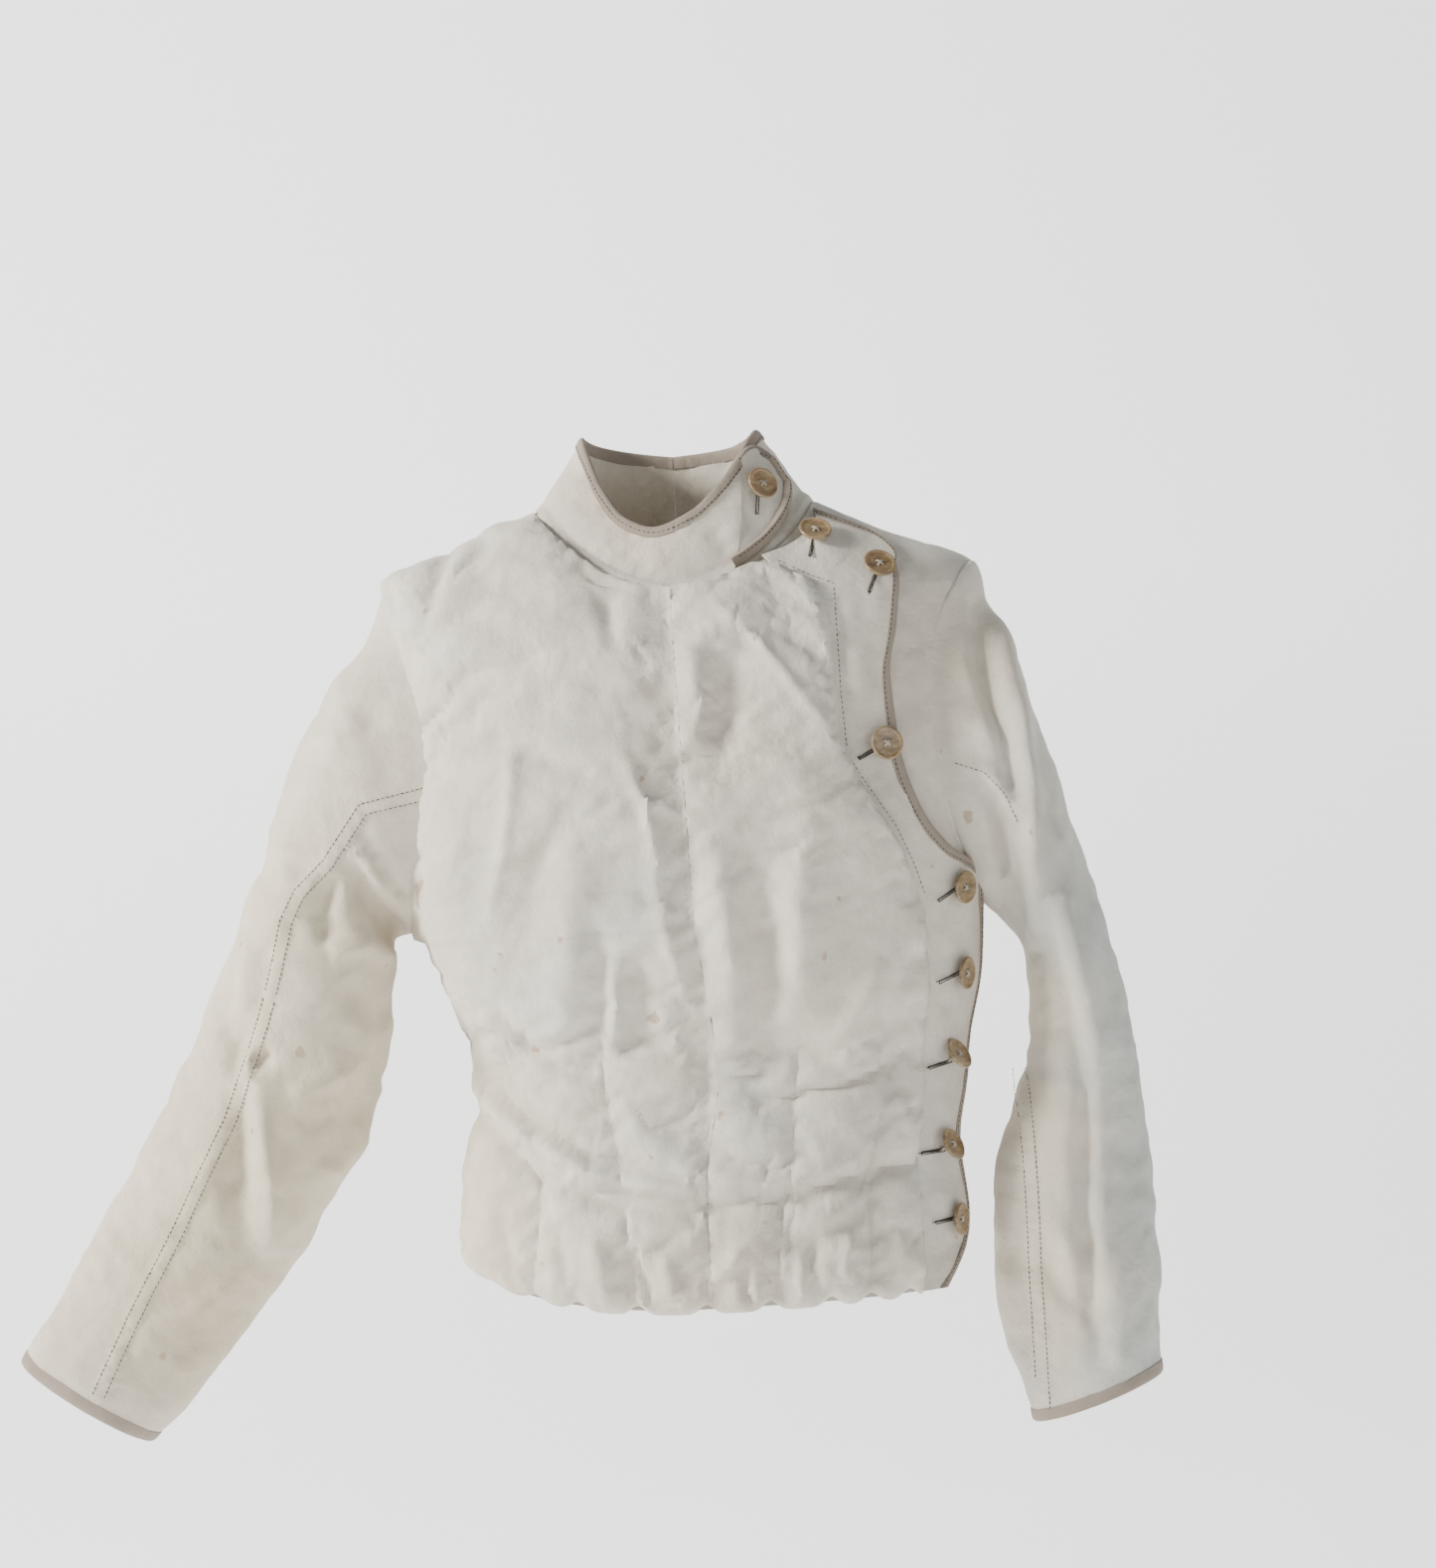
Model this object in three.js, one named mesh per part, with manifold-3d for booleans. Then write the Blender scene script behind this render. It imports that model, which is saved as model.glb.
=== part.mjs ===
// A padded stand-collar jacket whose front laps over and buttons down the wearer's left side,
// in the shape it takes on a hanger. Every cloth piece, binding, button and sewing thread is a solid of its own.
// Millimetres, +Z up, the front of the jacket towards -Y, the wearer's left towards +X.
// The origin is the centre-back neck point, where the hanging loop is sewn in.
import * as THREE from "three";
import Module from "manifold-3d";
import { mergeVertices } from "three/addons/utils/BufferGeometryUtils.js";

// ---- Driving dimensions -------------------------------------------------------------------------

// Heights below the side neck points
const shoulderDrop = 50;
const armpitDrop = 282;
const waistDrop = 395;
const hemDropSide = 512;
const hemDropFront = 550;
const hemDropBack = 530;

// Half widths and depths of the body
const neckHalfWidth = 97;
const shoulderHalfWidth = 207;
const chestHalfWidth = 206;
const armpitHalfWidth = 194;
const waistHalfWidth = 168;
const hipHalfWidth = 174;
const waistShift = 12; // the hung waist swings towards the buttoned side
const neckFrontDepth = 73;
const neckBackDepth = 58;
const bustDepth = 101;
const waistFrontDepth = 84;
const hipFrontDepth = 92;
const chestBackDepth = 84;
const waistBackDepth = 66;
const hipBackDepth = 80;
const sectionPower = 2.3; // 2 is an ellipse, larger is boxier

// Armholes
const armholeScoop = 24; // how far the seam curves in from the shoulder point
const armholeEase = 9; // the body pieces close this far below the sleeve's seam
const centreFrontAngle = 91;
const sidePanelFront = 13; // degrees round the body from the side
const sidePanelBack = 17;

// Cloth layers
const shellThickness = 1.5;
const waddingThickness = 5;
const liningThickness = 1;
const layerGap = 0.3;
const seamGap = 0.6;
const overlapClearance = 3; // from the under-front to the lapping front above it
const padMargin = 7; // the padded front stops this far short of the armhole seam

// Collar
const collarTopHalfWidth = 60;
const collarTopFrontDepth = 52;
const collarTopBackDepth = 45;
const collarSideRise = 53;
const collarBackRise = 41;
const collarFrontDrop = 16; // the top edge's lowest place is this far below the neck points
const collarThickness = 3;
const collarInset = 5; // the collar stands this far inside the neckline
const collarLift = 2.4;
const underlapStep = 4.7; // the buttoned-under end lies this much further in

// Edges
const bindingWidth = 8;
const bindingProud = 0.5;
const bandThickness = 2;
const collarBindingShare = 0.13; // of the collar's height at each place

// Buttons
const buttonDiameter = 23;
const buttonThickness = 3.6;
const buttonRim = 2.4;
const buttonDish = 0.9;
const buttonHoleDiameter = 1.9;
const buttonHoleCircle = 5.6;
const shankClearance = 4; // from the band to the underside of a button
const slackClearance = 4; // more for the two that hang tilted on slack threads
const slackTilt = 30;
const shankDiameter = 2.4;
const buttonholeWidth = 4;
const buttonholeEase = 3;

// Sleeves
const sleeveThickness = 2;
const armholeFrontLevel = 0.5; // share of the armhole's height where the seam is deepest
const elbowGap = 3;
const cuffBindingLength = 9;
const halfSeam = 0.5; // degrees round the sleeve between a half and the seam line

// Hanging loop
const loopWidth = 6;
const loopLength = 52;
const loopBow = 9;
const loopThickness = 1.2;

// ---- Small tools --------------------------------------------------------------------------------

const wasm = await Module();
wasm.setup();

const radians = (degrees) => (degrees * Math.PI) / 180;
const lerp = (a, b, t) => a + (b - a) * t;
const clamp = (x, low, high) => Math.min(high, Math.max(low, x));
const signedPower = (x, power) => Math.sign(x) * Math.abs(x) ** power;

// n numbers from a to b
const spread = (a, b, n) => Array.from({ length: n }, (_, i) => lerp(a, b, i / (n - 1)));

// A smooth curve that never overshoots, through rows of [x, value, value, ...] in rising x.
function curveThrough(rows) {
  const width = rows[0].length - 1;
  const slope = (i, k) => (rows[i + 1][k] - rows[i][k]) / (rows[i + 1][0] - rows[i][0]);
  const tangent = (i, k) => {
    if (i === 0) return slope(0, k);
    if (i === rows.length - 1) return slope(rows.length - 2, k);
    const before = slope(i - 1, k);
    const after = slope(i, k);
    return before * after <= 0 ? 0 : (2 * before * after) / (before + after);
  };
  return (x) => {
    const held = clamp(x, rows[0][0], rows.at(-1)[0]);
    let i = 0;
    while (i < rows.length - 2 && held > rows[i + 1][0]) i++;
    const span = rows[i + 1][0] - rows[i][0];
    const t = (held - rows[i][0]) / span;
    const values = [];
    for (let k = 1; k <= width; k++) {
      values.push(
        (1 + 2 * t) * (1 - t) ** 2 * rows[i][k] +
          t * (1 - t) ** 2 * span * tangent(i, k) +
          t * t * (3 - 2 * t) * rows[i + 1][k] +
          t * t * (t - 1) * span * tangent(i + 1, k),
      );
    }
    return values;
  };
}

// The value between low and high where f changes sign.
function solve(f, low, high) {
  const rising = f(high) > f(low);
  for (let i = 0; i < 40; i++) {
    const middle = (low + high) / 2;
    if (f(middle) > 0 === rising) high = middle;
    else low = middle;
  }
  return (low + high) / 2;
}

// ---- Sheets: a grid of places on a surface, given a thickness along the surface's normals ------------

// surface(u, v) is a point, places[row][column] is [u, v], and outside(point) is the side that counts as out.
function sheet(surface, places, outside) {
  const step = 1e-3;
  const grid = places.map((line) => line.map(([u, v]) => surface(u, v)));
  const normals = places.map((line, j) =>
    line.map(([u, v], i) => {
      const along = surface(u + step, v).sub(surface(u - step, v));
      const down = surface(u, v + step).sub(surface(u, v - step));
      const normal = along.cross(down).normalize();
      return normal.dot(outside(grid[j][i])) < 0 ? normal.negate() : normal;
    }),
  );
  return { grid, normals };
}

// The closed solid between two offsets from a sheet, positive offsets outside.
function layer({ grid, normals }, from, to) {
  const rows = grid.length;
  const columns = grid[0].length;
  const positions = [];
  for (const offset of [from, to]) {
    grid.forEach((line, j) =>
      line.forEach((p, i) => positions.push(...p.clone().addScaledVector(normals[j][i], offset))),
    );
  }
  const at = (side, j, i) => side * rows * columns + j * columns + i;
  const triangles = [];
  const quad = (a, b, c, d) => triangles.push(a, b, c, a, c, d);
  for (let j = 0; j < rows - 1; j++) {
    for (let i = 0; i < columns - 1; i++) {
      quad(at(1, j, i), at(1, j, i + 1), at(1, j + 1, i + 1), at(1, j + 1, i));
      quad(at(0, j, i), at(0, j + 1, i), at(0, j + 1, i + 1), at(0, j, i + 1));
    }
  }
  for (let i = 0; i < columns - 1; i++) {
    quad(at(0, 0, i), at(0, 0, i + 1), at(1, 0, i + 1), at(1, 0, i));
    quad(at(1, rows - 1, i), at(1, rows - 1, i + 1), at(0, rows - 1, i + 1), at(0, rows - 1, i));
  }
  for (let j = 0; j < rows - 1; j++) {
    quad(at(1, j, 0), at(1, j + 1, 0), at(0, j + 1, 0), at(0, j, 0));
    quad(at(0, j, columns - 1), at(0, j + 1, columns - 1), at(1, j + 1, columns - 1), at(1, j, columns - 1));
  }
  return facingOut(positions, triangles);
}

// A geometry whose triangles face out, whichever way round they were listed.
function facingOut(positions, triangles) {
  const v = (i) => new THREE.Vector3().fromArray(positions, 3 * i);
  let volume = 0;
  for (let k = 0; k < triangles.length; k += 3) {
    volume += v(triangles[k]).dot(v(triangles[k + 1]).cross(v(triangles[k + 2])));
  }
  if (volume < 0) triangles.reverse();
  const geometry = new THREE.BufferGeometry();
  geometry.setAttribute("position", new THREE.Float32BufferAttribute(positions, 3));
  geometry.setIndex(triangles);
  return geometry;
}

function toSolid(geometry) {
  const bare = geometry.clone();
  bare.deleteAttribute("normal");
  bare.deleteAttribute("uv");
  const merged = mergeVertices(bare, 1e-4);
  return new wasm.Manifold(
    new wasm.Mesh({
      numProp: 3,
      vertProperties: merged.attributes.position.array,
      triVerts: new Uint32Array(merged.index.array),
    }),
  );
}

function toGeometry(solid) {
  const mesh = solid.getMesh();
  const geometry = new THREE.BufferGeometry();
  geometry.setAttribute("position", new THREE.BufferAttribute(mesh.vertProperties, 3));
  geometry.setIndex(new THREE.BufferAttribute(mesh.triVerts, 1));
  return geometry;
}

const cutAway = (geometry, cutters) =>
  toGeometry(cutters.reduce((solid, cutter) => solid.subtract(toSolid(cutter)), toSolid(geometry)));

// ---- Cloths ---------------------------------------------------------------------------------------

const cloth = (color, roughness = 0.95) => new THREE.MeshStandardMaterial({ color, roughness, metalness: 0 });
const drill = () => cloth(0xd6cdbb);
const lining = () => cloth(0xc9c5bb);
const wadding = () => cloth(0xe8e3d6);
const tape = () => cloth(0xa89683);
const horn = () => cloth(0xb0916a, 0.35);
const thread = () => cloth(0xd9cbb5);

const jacket = new THREE.Group();

function piece(name, geometry, material) {
  const mesh = new THREE.Mesh(geometry, material);
  mesh.name = name;
  jacket.add(mesh);
  return mesh;
}

// ---- The body's surface ------------------------------------------------------------------------------

// Half width, sideways shift, front depth and back depth at each height
const bodySection = curveThrough([
  [0, neckHalfWidth, 0, 26, 30],
  [0.5 * shoulderDrop, lerp(neckHalfWidth, shoulderHalfWidth, 0.5), 0, 47, 54],
  [shoulderDrop, shoulderHalfWidth, 0, neckFrontDepth - 8, 69],
  [shoulderDrop + 16, lerp(shoulderHalfWidth, chestHalfWidth, 0.5) + 5, 0, neckFrontDepth + 1.5, 74],
  [lerp(shoulderDrop, armpitDrop, 0.45), chestHalfWidth + 4, 1, bustDepth - 5, chestBackDepth],
  [lerp(shoulderDrop, armpitDrop, 0.72), chestHalfWidth, 2, bustDepth, chestBackDepth - 2],
  [armpitDrop + armholeEase, armpitHalfWidth, 3, bustDepth - 1, chestBackDepth - 6],
  [lerp(armpitDrop, waistDrop, 0.5), lerp(armpitHalfWidth, waistHalfWidth, 0.45), 9, 94, 72],
  [waistDrop, waistHalfWidth, waistShift, waistFrontDepth, waistBackDepth],
  [lerp(waistDrop, hemDropFront, 0.44), lerp(waistHalfWidth, hipHalfWidth, 0.6), 1, 87, 72],
  [lerp(waistDrop, hemDropFront, 0.7), hipHalfWidth, 0, hipFrontDepth, hipBackDepth],
  [hemDropFront + 10, hipHalfWidth - 2, 0, hipFrontDepth, hipBackDepth],
]);

// The point of the body at an angle and height. 0 is the wearer's left, 90 the front, 270 the back.
function bodyPoint(angle, z) {
  const [halfWidth, shift, front, back] = bodySection(-z);
  const across = signedPower(Math.cos(radians(angle)), 2 / sectionPower);
  const out = signedPower(Math.sin(radians(angle)), 2 / sectionPower);
  return new THREE.Vector3(shift + halfWidth * across, -out * (out > 0 ? front : back), z);
}

const awayFromAxis = (p) => new THREE.Vector3(p.x, p.y, p.z > -shoulderDrop ? 60 : 0);

// The neckline is where a standing oval tube meets the body. Its angle at a height, front or back:
// Angles on the front of the body are also met by the share of the half width that they stand at.
const frontAngle = (share) => (Math.acos(share ** (sectionPower / 2)) * 180) / Math.PI;

const neckOval = (p) => Math.hypot(p.x / neckHalfWidth, p.y / (p.y < 0 ? neckFrontDepth : neckBackDepth)) - 1;
function neckAngle(z, side, middle) {
  const lowest = middle > 180 ? 270 : 90;
  if (z >= -0.01) return side;
  if (neckOval(bodyPoint(lowest, z)) > -1e-6) return middle;
  const edge = solve((angle) => neckOval(bodyPoint(angle, z)), side, lowest);
  return side < lowest ? Math.min(edge, middle) : Math.max(edge, middle);
}

// The neckline's height at an angle round its oval
function neckZ(angle) {
  const [c, s] = [Math.cos(radians(angle)), Math.sin(radians(angle))];
  const neckDepth = s > 0 ? neckFrontDepth : neckBackDepth;
  const outsideBody = (drop) => {
    const [halfWidth, , front, back] = bodySection(drop);
    const out = (s * neckDepth) / (s > 0 ? front : back);
    return Math.abs((c * neckHalfWidth) / halfWidth) ** sectionPower + Math.abs(out) ** sectionPower - 1;
  };
  return outsideBody(0) < 0 ? 0 : -solve(outsideBody, 0, shoulderDrop * 1.7);
}

// The armhole seam's distance from the middle at a height, and its angle on the body
const armholeTop = -shoulderDrop + 1;
const armholeBottom = -armpitDrop - armholeEase;
function armholeX(z) {
  const level = clamp((armholeTop - z) / (armholeTop - armholeBottom), 0, 1);
  return shoulderHalfWidth - 3 - armholeScoop * Math.sin(Math.PI * level ** (Math.log(0.5) / Math.log(armholeFrontLevel)));
}
function armholeAngle(z, side, quarter, margin, panelSide = side) {
  if (z >= armholeTop) return side;
  if (z <= armholeBottom) return panelSide;
  const toward = side + (quarter - side) * 0.95;
  const limit = armholeX(z) - margin;
  const reach = (angle) => Math.abs(bodyPoint(angle, z).x) - limit;
  if (reach(side) < 0) return side;
  return solve(reach, side, toward);
}

// The hem's height at an angle
function hemZ(angle) {
  const out = Math.sin(radians(angle));
  return -(hemDropSide + (out > 0 ? hemDropFront - hemDropSide : hemDropBack - hemDropSide) * Math.abs(out) ** 1.2);
}

const seamAngle = 0.25; // half the gap between two pieces' edges at the sides, in degrees
const frontSeamAngle = 0.16; // the same at the centre front
const backSeamAngle = 0.03;
const hemBinding = bindingWidth + 2 * seamGap;

// Row heights: round the neckline, then shares of the way from one landmark to the next
const neckRows = [24, 44, 60, 76, 90];
const armholeRows = [0.15, 0.32, 0.5, 0.7, 0.87, 1];
const waistRows = [0.35, 0.7, 1];
const skirtRows = [0.35, 0.7, 1];

const neckHeights = (side) => {
  const heights = neckRows.map((angle) => neckZ(side * angle));
  const lowest = heights.at(-1) - 2;
  return lowest - 5 > -shoulderDrop ? [...heights, lowest, -shoulderDrop] : [...heights, lowest];
};
const upperHeights = (side) => [
  ...neckHeights(side),
  ...armholeRows.map((share) => lerp(-shoulderDrop, armholeBottom, share)),
  ...waistRows.map((share) => lerp(armholeBottom, -waistDrop, share)),
];

// A panel from the heights above: its two side edges are angles at a height, and it ends at the hem.
function bodyPanel({ side, from, to, columns }) {
  const rows = [-1.5, ...upperHeights(side)].map((z) => spread(from(z), to(z), columns).map((angle) => [angle, z]));
  for (const share of skirtRows) {
    rows.push(
      spread(0, 1, columns).map((across) => {
        const low = hemZ(lerp(from(-waistDrop), to(-waistDrop), across)) + hemBinding;
        const z = lerp(-waistDrop, low, share);
        return [lerp(from(z), to(z), across), z];
      }),
    );
  }
  return sheet(bodyPoint, rows, awayFromAxis);
}

// ---- Right front: a padded quilt of shell, wadding and lining ------------------------------------------

const liningFrom = overlapClearance;
const liningTo = liningFrom + liningThickness;
const waddingFrom = liningTo + layerGap;
const waddingTo = waddingFrom + waddingThickness;
const shellFrom = waddingTo + layerGap;
const shellTo = shellFrom + shellThickness;

function quilt(name, panel) {
  piece(`${name}_shell`, layer(panel, shellFrom, shellTo), drill());
  piece(`${name}_wadding`, layer(panel, waddingFrom, waddingTo), wadding());
  piece(`${name}_lining`, layer(panel, liningFrom, liningTo), lining());
}

quilt(
  "right_front",
  bodyPanel({
    side: 1,
    from: (z) => neckAngle(z, 180 - 4, centreFrontAngle + frontSeamAngle),
    to: (z) => armholeAngle(z, 179, 90, padMargin, 180 - sidePanelFront - seamAngle),
    columns: 8,
  }),
);

// ---- The closing band, which carries the buttonholes -----------------------------------------------------

// Matching places on the band's inner and outer edge, from the neckline over the shoulder and down to the hem:
// [inner share, inner level, outer share, outer level]. A share is of the body's half width. A level counts
// landmarks on the way down: 0 neck point, 1 shoulder, 2 armpit, 3 waist, 4 front hem.
const landmarks = [0, -shoulderDrop, -armpitDrop, -waistDrop, -hemDropFront];
const heightAt = (level) => {
  const i = clamp(Math.floor(level), 0, 3);
  return lerp(landmarks[i], landmarks[i + 1], level - i);
};
const bandRows = [
  [0.331, 0.80, 0.810, 0.19],
  [0.360, 1.01, 0.830, 0.33],
  [0.427, 1.05, 0.848, 0.48],
  [0.464, 1.12, 0.776, 0.76],
  [0.477, 1.22, 0.714, 1.04],
  [0.482, 1.32, 0.690, 1.19],
  [0.483, 1.45, 0.659, 1.33],
  [0.527, 1.60, 0.676, 1.54],
  [0.618, 1.75, 0.745, 1.73],
  [0.709, 1.90, 0.841, 1.84],
  [0.768, 2.07, 0.970, 1.94],
  [0.788, 2.47, 0.993, 2.32],
  [0.800, 2.91, 0.993, 2.85],
  [0.803, 3.29, 0.974, 3.29],
  [0.799, 3.68, 0.993, 3.68],
  [0.794, 4.00, 0.896, 4.00],
];
const bandEdges = curveThrough(
  bandRows.map(([inner, innerLevel, outer, outerLevel], i) => [
    i / (bandRows.length - 1),
    frontAngle(inner),
    innerLevel,
    frontAngle(outer),
    outerLevel,
  ]),
);
function bandPoint(along, across) {
  const [innerAngle, innerLevel, outerAngle, outerLevel] = bandEdges(along);
  return bodyPoint(lerp(innerAngle, outerAngle, across), lerp(heightAt(innerLevel), heightAt(outerLevel), across));
}
const bandWidthAt = (along) => bandPoint(along, 0).distanceTo(bandPoint(along, 1));
const bandPlaces = spread(0, 1, 27);
const strip = (from, to, across) =>
  sheet(
    bandPoint,
    bandPlaces.map((along) => spread(from(along), to(along), across).map((share) => [along, share])),
    awayFromAxis,
  );
const bindingStart = (along) => 1 - bindingWidth / bandWidthAt(along);
const bindingSeam = (along) => bindingStart(along) - layerGap / bandWidthAt(along);

const bandFrom = overlapClearance - 0.4;
const bandTo = bandFrom + bandThickness;
const bandInset = (along) => seamGap / bandWidthAt(along);
const bandSheet = strip(bandInset, bindingSeam, 4);

// ---- Buttons, their threads and the slots that they pass through ----------------------------------------------

// A frame on the band: origin on the body's surface, x along the slot towards the closing edge, z outwards
function frameAt(origin, slotEnd, outside) {
  const x = slotEnd.clone().sub(origin).normalize();
  const z = outside.clone().addScaledVector(x, -outside.dot(x)).normalize();
  const y = z.clone().cross(x);
  return new THREE.Matrix4().makeBasis(x, y, z).setPosition(origin);
}
function bandFrame(along, across) {
  const step = 0.004;
  const here = bandPoint(along, across);
  const outward = bandPoint(along, across + step * 4).sub(here);
  const onward = bandPoint(along + step, across).sub(here);
  const normal = outward.clone().cross(onward).normalize();
  if (normal.dot(awayFromAxis(here)) < 0) normal.negate();
  return frameAt(here, bandPoint(along, 1), normal);
}

const buttonholeLength = buttonDiameter + buttonholeEase;
const slotOutside = 4; // the slot runs this far past the shank towards the edge
function slotCutter(frame, height) {
  const slot = new THREE.BoxGeometry(buttonholeLength, buttonholeWidth, height);
  slot.translate(slotOutside - buttonholeLength / 2, 0, height / 2 - 4);
  return slot.applyMatrix4(frame);
}

const buttonFacets = 22;
function buttonGeometry() {
  const r = buttonDiameter / 2;
  const profile = [
    [0, 0],
    [r - 2.2, 0],
    [r, 1.6],
    [r, buttonThickness - 0.7],
    [r - 0.8, buttonThickness],
    [r - buttonRim, buttonThickness],
    [r - buttonRim - 0.9, buttonThickness - buttonDish],
    [0, buttonThickness - buttonDish],
  ].map(([x, y]) => new THREE.Vector2(x, y));
  const disc = new THREE.LatheGeometry(profile, buttonFacets).rotateX(Math.PI / 2);
  const holes = [45, 135, 225, 315].map((angle) => {
    const hole = new THREE.CylinderGeometry(buttonHoleDiameter / 2, buttonHoleDiameter / 2, 12, 5).rotateX(Math.PI / 2);
    const out = buttonHoleCircle / 2;
    return hole.translate(out * Math.cos(radians(angle)), out * Math.sin(radians(angle)), 0);
  });
  return cutAway(disc, holes);
}

// The thread: a wound shank up from the under cloth, four strands through the holes and a cross in the dish
function threadGeometry(shankLength) {
  const out = buttonHoleCircle / 2;
  const plate = 0.8;
  const shank = new THREE.CylinderGeometry(shankDiameter / 2, shankDiameter / 2, shankLength - 0.3, 6)
    .rotateX(Math.PI / 2)
    .translate(0, 0, (shankLength - 0.3) / 2);
  const foot = new THREE.CylinderGeometry(out + 0.8, out + 0.8, plate, 8)
    .rotateX(Math.PI / 2)
    .translate(0, 0, shankLength - 0.3 - plate / 2);
  const top = shankLength + buttonThickness - buttonDish;
  const strandWidth = buttonHoleDiameter / 2 + 0.1;
  const strands = [45, 135, 225, 315].map((angle) =>
    new THREE.BoxGeometry(strandWidth, strandWidth, top - shankLength + 1.2)
      .translate(out, 0, (top + shankLength) / 2 + 0.1)
      .rotateZ(radians(angle)),
  );
  const bars = [45, 135].map((angle) =>
    new THREE.BoxGeometry(2 * out + strandWidth, strandWidth, 0.6).translate(0, 0, top + 0.65).rotateZ(radians(angle)),
  );
  return toGeometry(
    [foot, ...strands, ...bars].reduce((solid, more) => solid.add(toSolid(more)), toSolid(shank)),
  );
}

// Places along the band of the buttons sewn to the under-front, and how far across it they sit
const bandButtons = [
  [0.022, 0.42],
  [0.198, 0.54],
  [0.458, 0.66],
  [0.656, 0.5],
  [0.74, 0.38],
  [0.818, 0.38],
  [0.884, 0.42],
  [0.938, 0.46],
];
const buttonFrames = bandButtons.map(([along, across]) => bandFrame(along, across));
const shankFoot = 0.9; // the shank starts this far above the cloth it is sewn to
const bandShank = bandTo + shankClearance - shankFoot;
const slackButtons = { 7: slackTilt, 8: slackTilt - 6 };

// A button and its thread rock about the buttonhole, pivotHeight above the cloth they are sewn to.
function sewButton(number, frame, shank, pivotHeight) {
  const tilt = slackButtons[number] ?? 0;
  const shankLength = shank + (tilt ? slackClearance : 0);
  const seat = frame
    .clone()
    .multiply(new THREE.Matrix4().makeTranslation(0, 0, pivotHeight))
    .multiply(new THREE.Matrix4().makeRotationX(radians(-tilt)))
    .multiply(new THREE.Matrix4().makeTranslation(0, 0, shankFoot - pivotHeight));
  piece(`button_${number}_thread`, threadGeometry(shankLength).applyMatrix4(seat), thread());
  const raised = seat.clone().multiply(new THREE.Matrix4().makeTranslation(0, 0, shankLength + 0.05));
  piece(`button_${number}`, buttonGeometry().applyMatrix4(raised), horn());
}
const bandPivot = (bandFrom + bandTo) / 2;
buttonFrames.forEach((frame, i) => sewButton(i + 2, frame, bandShank, bandPivot));

piece(
  "button_band",
  cutAway(
    layer(bandSheet, bandFrom, bandTo),
    buttonFrames.map((frame) => slotCutter(frame, 14)),
  ),
  drill(),
);
piece(
  "closing_edge_binding",
  layer(
    strip(bindingStart, () => 1, 2),
    bandFrom - bindingProud,
    bandTo + bindingProud,
  ),
  tape(),
);

// ---- Overlap front: the padded quilt from the centre-front seam to the band -------------------------------------

// Its rows run from the centre front to the same places of the band's inner edge that the band is made of.
const overlapPlaces = bandPlaces.filter((along) => along >= 1 / (bandRows.length - 1));
const overlapPoint = (along, across) => {
  const [innerAngle, innerLevel] = bandEdges(along);
  const z = heightAt(innerLevel);
  const low = z < -waistDrop ? lerp(z, z + hemBinding, (z + waistDrop) / (waistDrop - hemDropFront)) : z;
  const start = neckAngle(low, innerAngle - 4, centreFrontAngle - frontSeamAngle);
  return bodyPoint(lerp(start, innerAngle + seamAngle, across), low);
};
quilt(
  "overlap_front",
  sheet(
    overlapPoint,
    overlapPlaces.map((along) => spread(0, 1, 6).map((across) => [along, across])),
    awayFromAxis,
  ),
);

// ---- Under-front and back -------------------------------------------------------------------------------------------

const underlapAngle = 97; // the under-front runs on past the centre front
const thinLayer = (name, panel) =>
  piece(name, layer(panel, -shellThickness - layerGap, -layerGap), drill());
const underFront = bodyPanel({
  side: 1,
  from: (z) => armholeAngle(z, 1, 90, 0, sidePanelFront + seamAngle),
  to: (z) => neckAngle(z, 4, underlapAngle),
  columns: 8,
});
thinLayer("left_underfront_shell", underFront);
piece(
  "left_underfront_lining",
  layer(underFront, -shellThickness - liningThickness - 2 * layerGap, -shellThickness - 2 * layerGap),
  lining(),
);

const centreBack = 270;
thinLayer(
  "back_right",
  bodyPanel({
    side: -1,
    from: (z) => armholeAngle(z, 181, 270, 0, 180 + sidePanelBack + seamAngle),
    to: (z) => neckAngle(z, 184, centreBack - backSeamAngle),
    columns: 6,
  }),
);
thinLayer(
  "back_left",
  bodyPanel({
    side: -1,
    from: (z) => neckAngle(z, 356, centreBack + backSeamAngle),
    to: (z) => armholeAngle(z, 359, 270, 0, 360 - sidePanelBack - seamAngle),
    columns: 6,
  }),
);

// The side panels hang from the armpits between the fronts and the back.
function sidePanel(name, from, to) {
  const rows = [...waistRows.map((share) => lerp(armholeBottom, -waistDrop, share))];
  const places = [armholeBottom, ...rows].map((z) => spread(from, to, 4).map((angle) => [angle, z]));
  for (const share of skirtRows) {
    places.push(spread(from, to, 4).map((angle) => [angle, lerp(-waistDrop, hemZ(angle) + hemBinding, share)]));
  }
  thinLayer(name, sheet(bodyPoint, places, awayFromAxis));
}
sidePanel("right_side", 180 - sidePanelFront + seamAngle, 180 + sidePanelBack - seamAngle);
sidePanel("left_side", -sidePanelBack + seamAngle, sidePanelFront - seamAngle);

// ---- Hem bindings ------------------------------------------------------------------------------------------------------

// A tape round the hem between two angles, closing the layers between two offsets
function hemTape(name, from, to, columns, inner, outer, hem = hemZ) {
  const rows = [0, 1].map((share) => spread(from, to, columns).map((angle) => [angle, share]));
  const surface = (angle, share) => bodyPoint(angle, hem(angle) + bindingWidth * share);
  piece(name, layer(sheet(surface, rows, awayFromAxis), inner, outer), tape());
}
const thinInner = -shellThickness - liningThickness - 2 * layerGap - bindingProud;
const rightSeam = 180 - sidePanelFront;
hemTape("right_front_hem_binding", centreFrontAngle + frontSeamAngle, rightSeam, 8, liningFrom - bindingProud, shellTo);
hemTape("back_hem_binding", rightSeam + seamAngle, 360 + sidePanelFront - seamAngle, 19, thinInner, bindingProud);
hemTape("left_underfront_hem_binding", sidePanelFront + seamAngle, underlapAngle, 8, thinInner, bindingProud);
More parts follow.
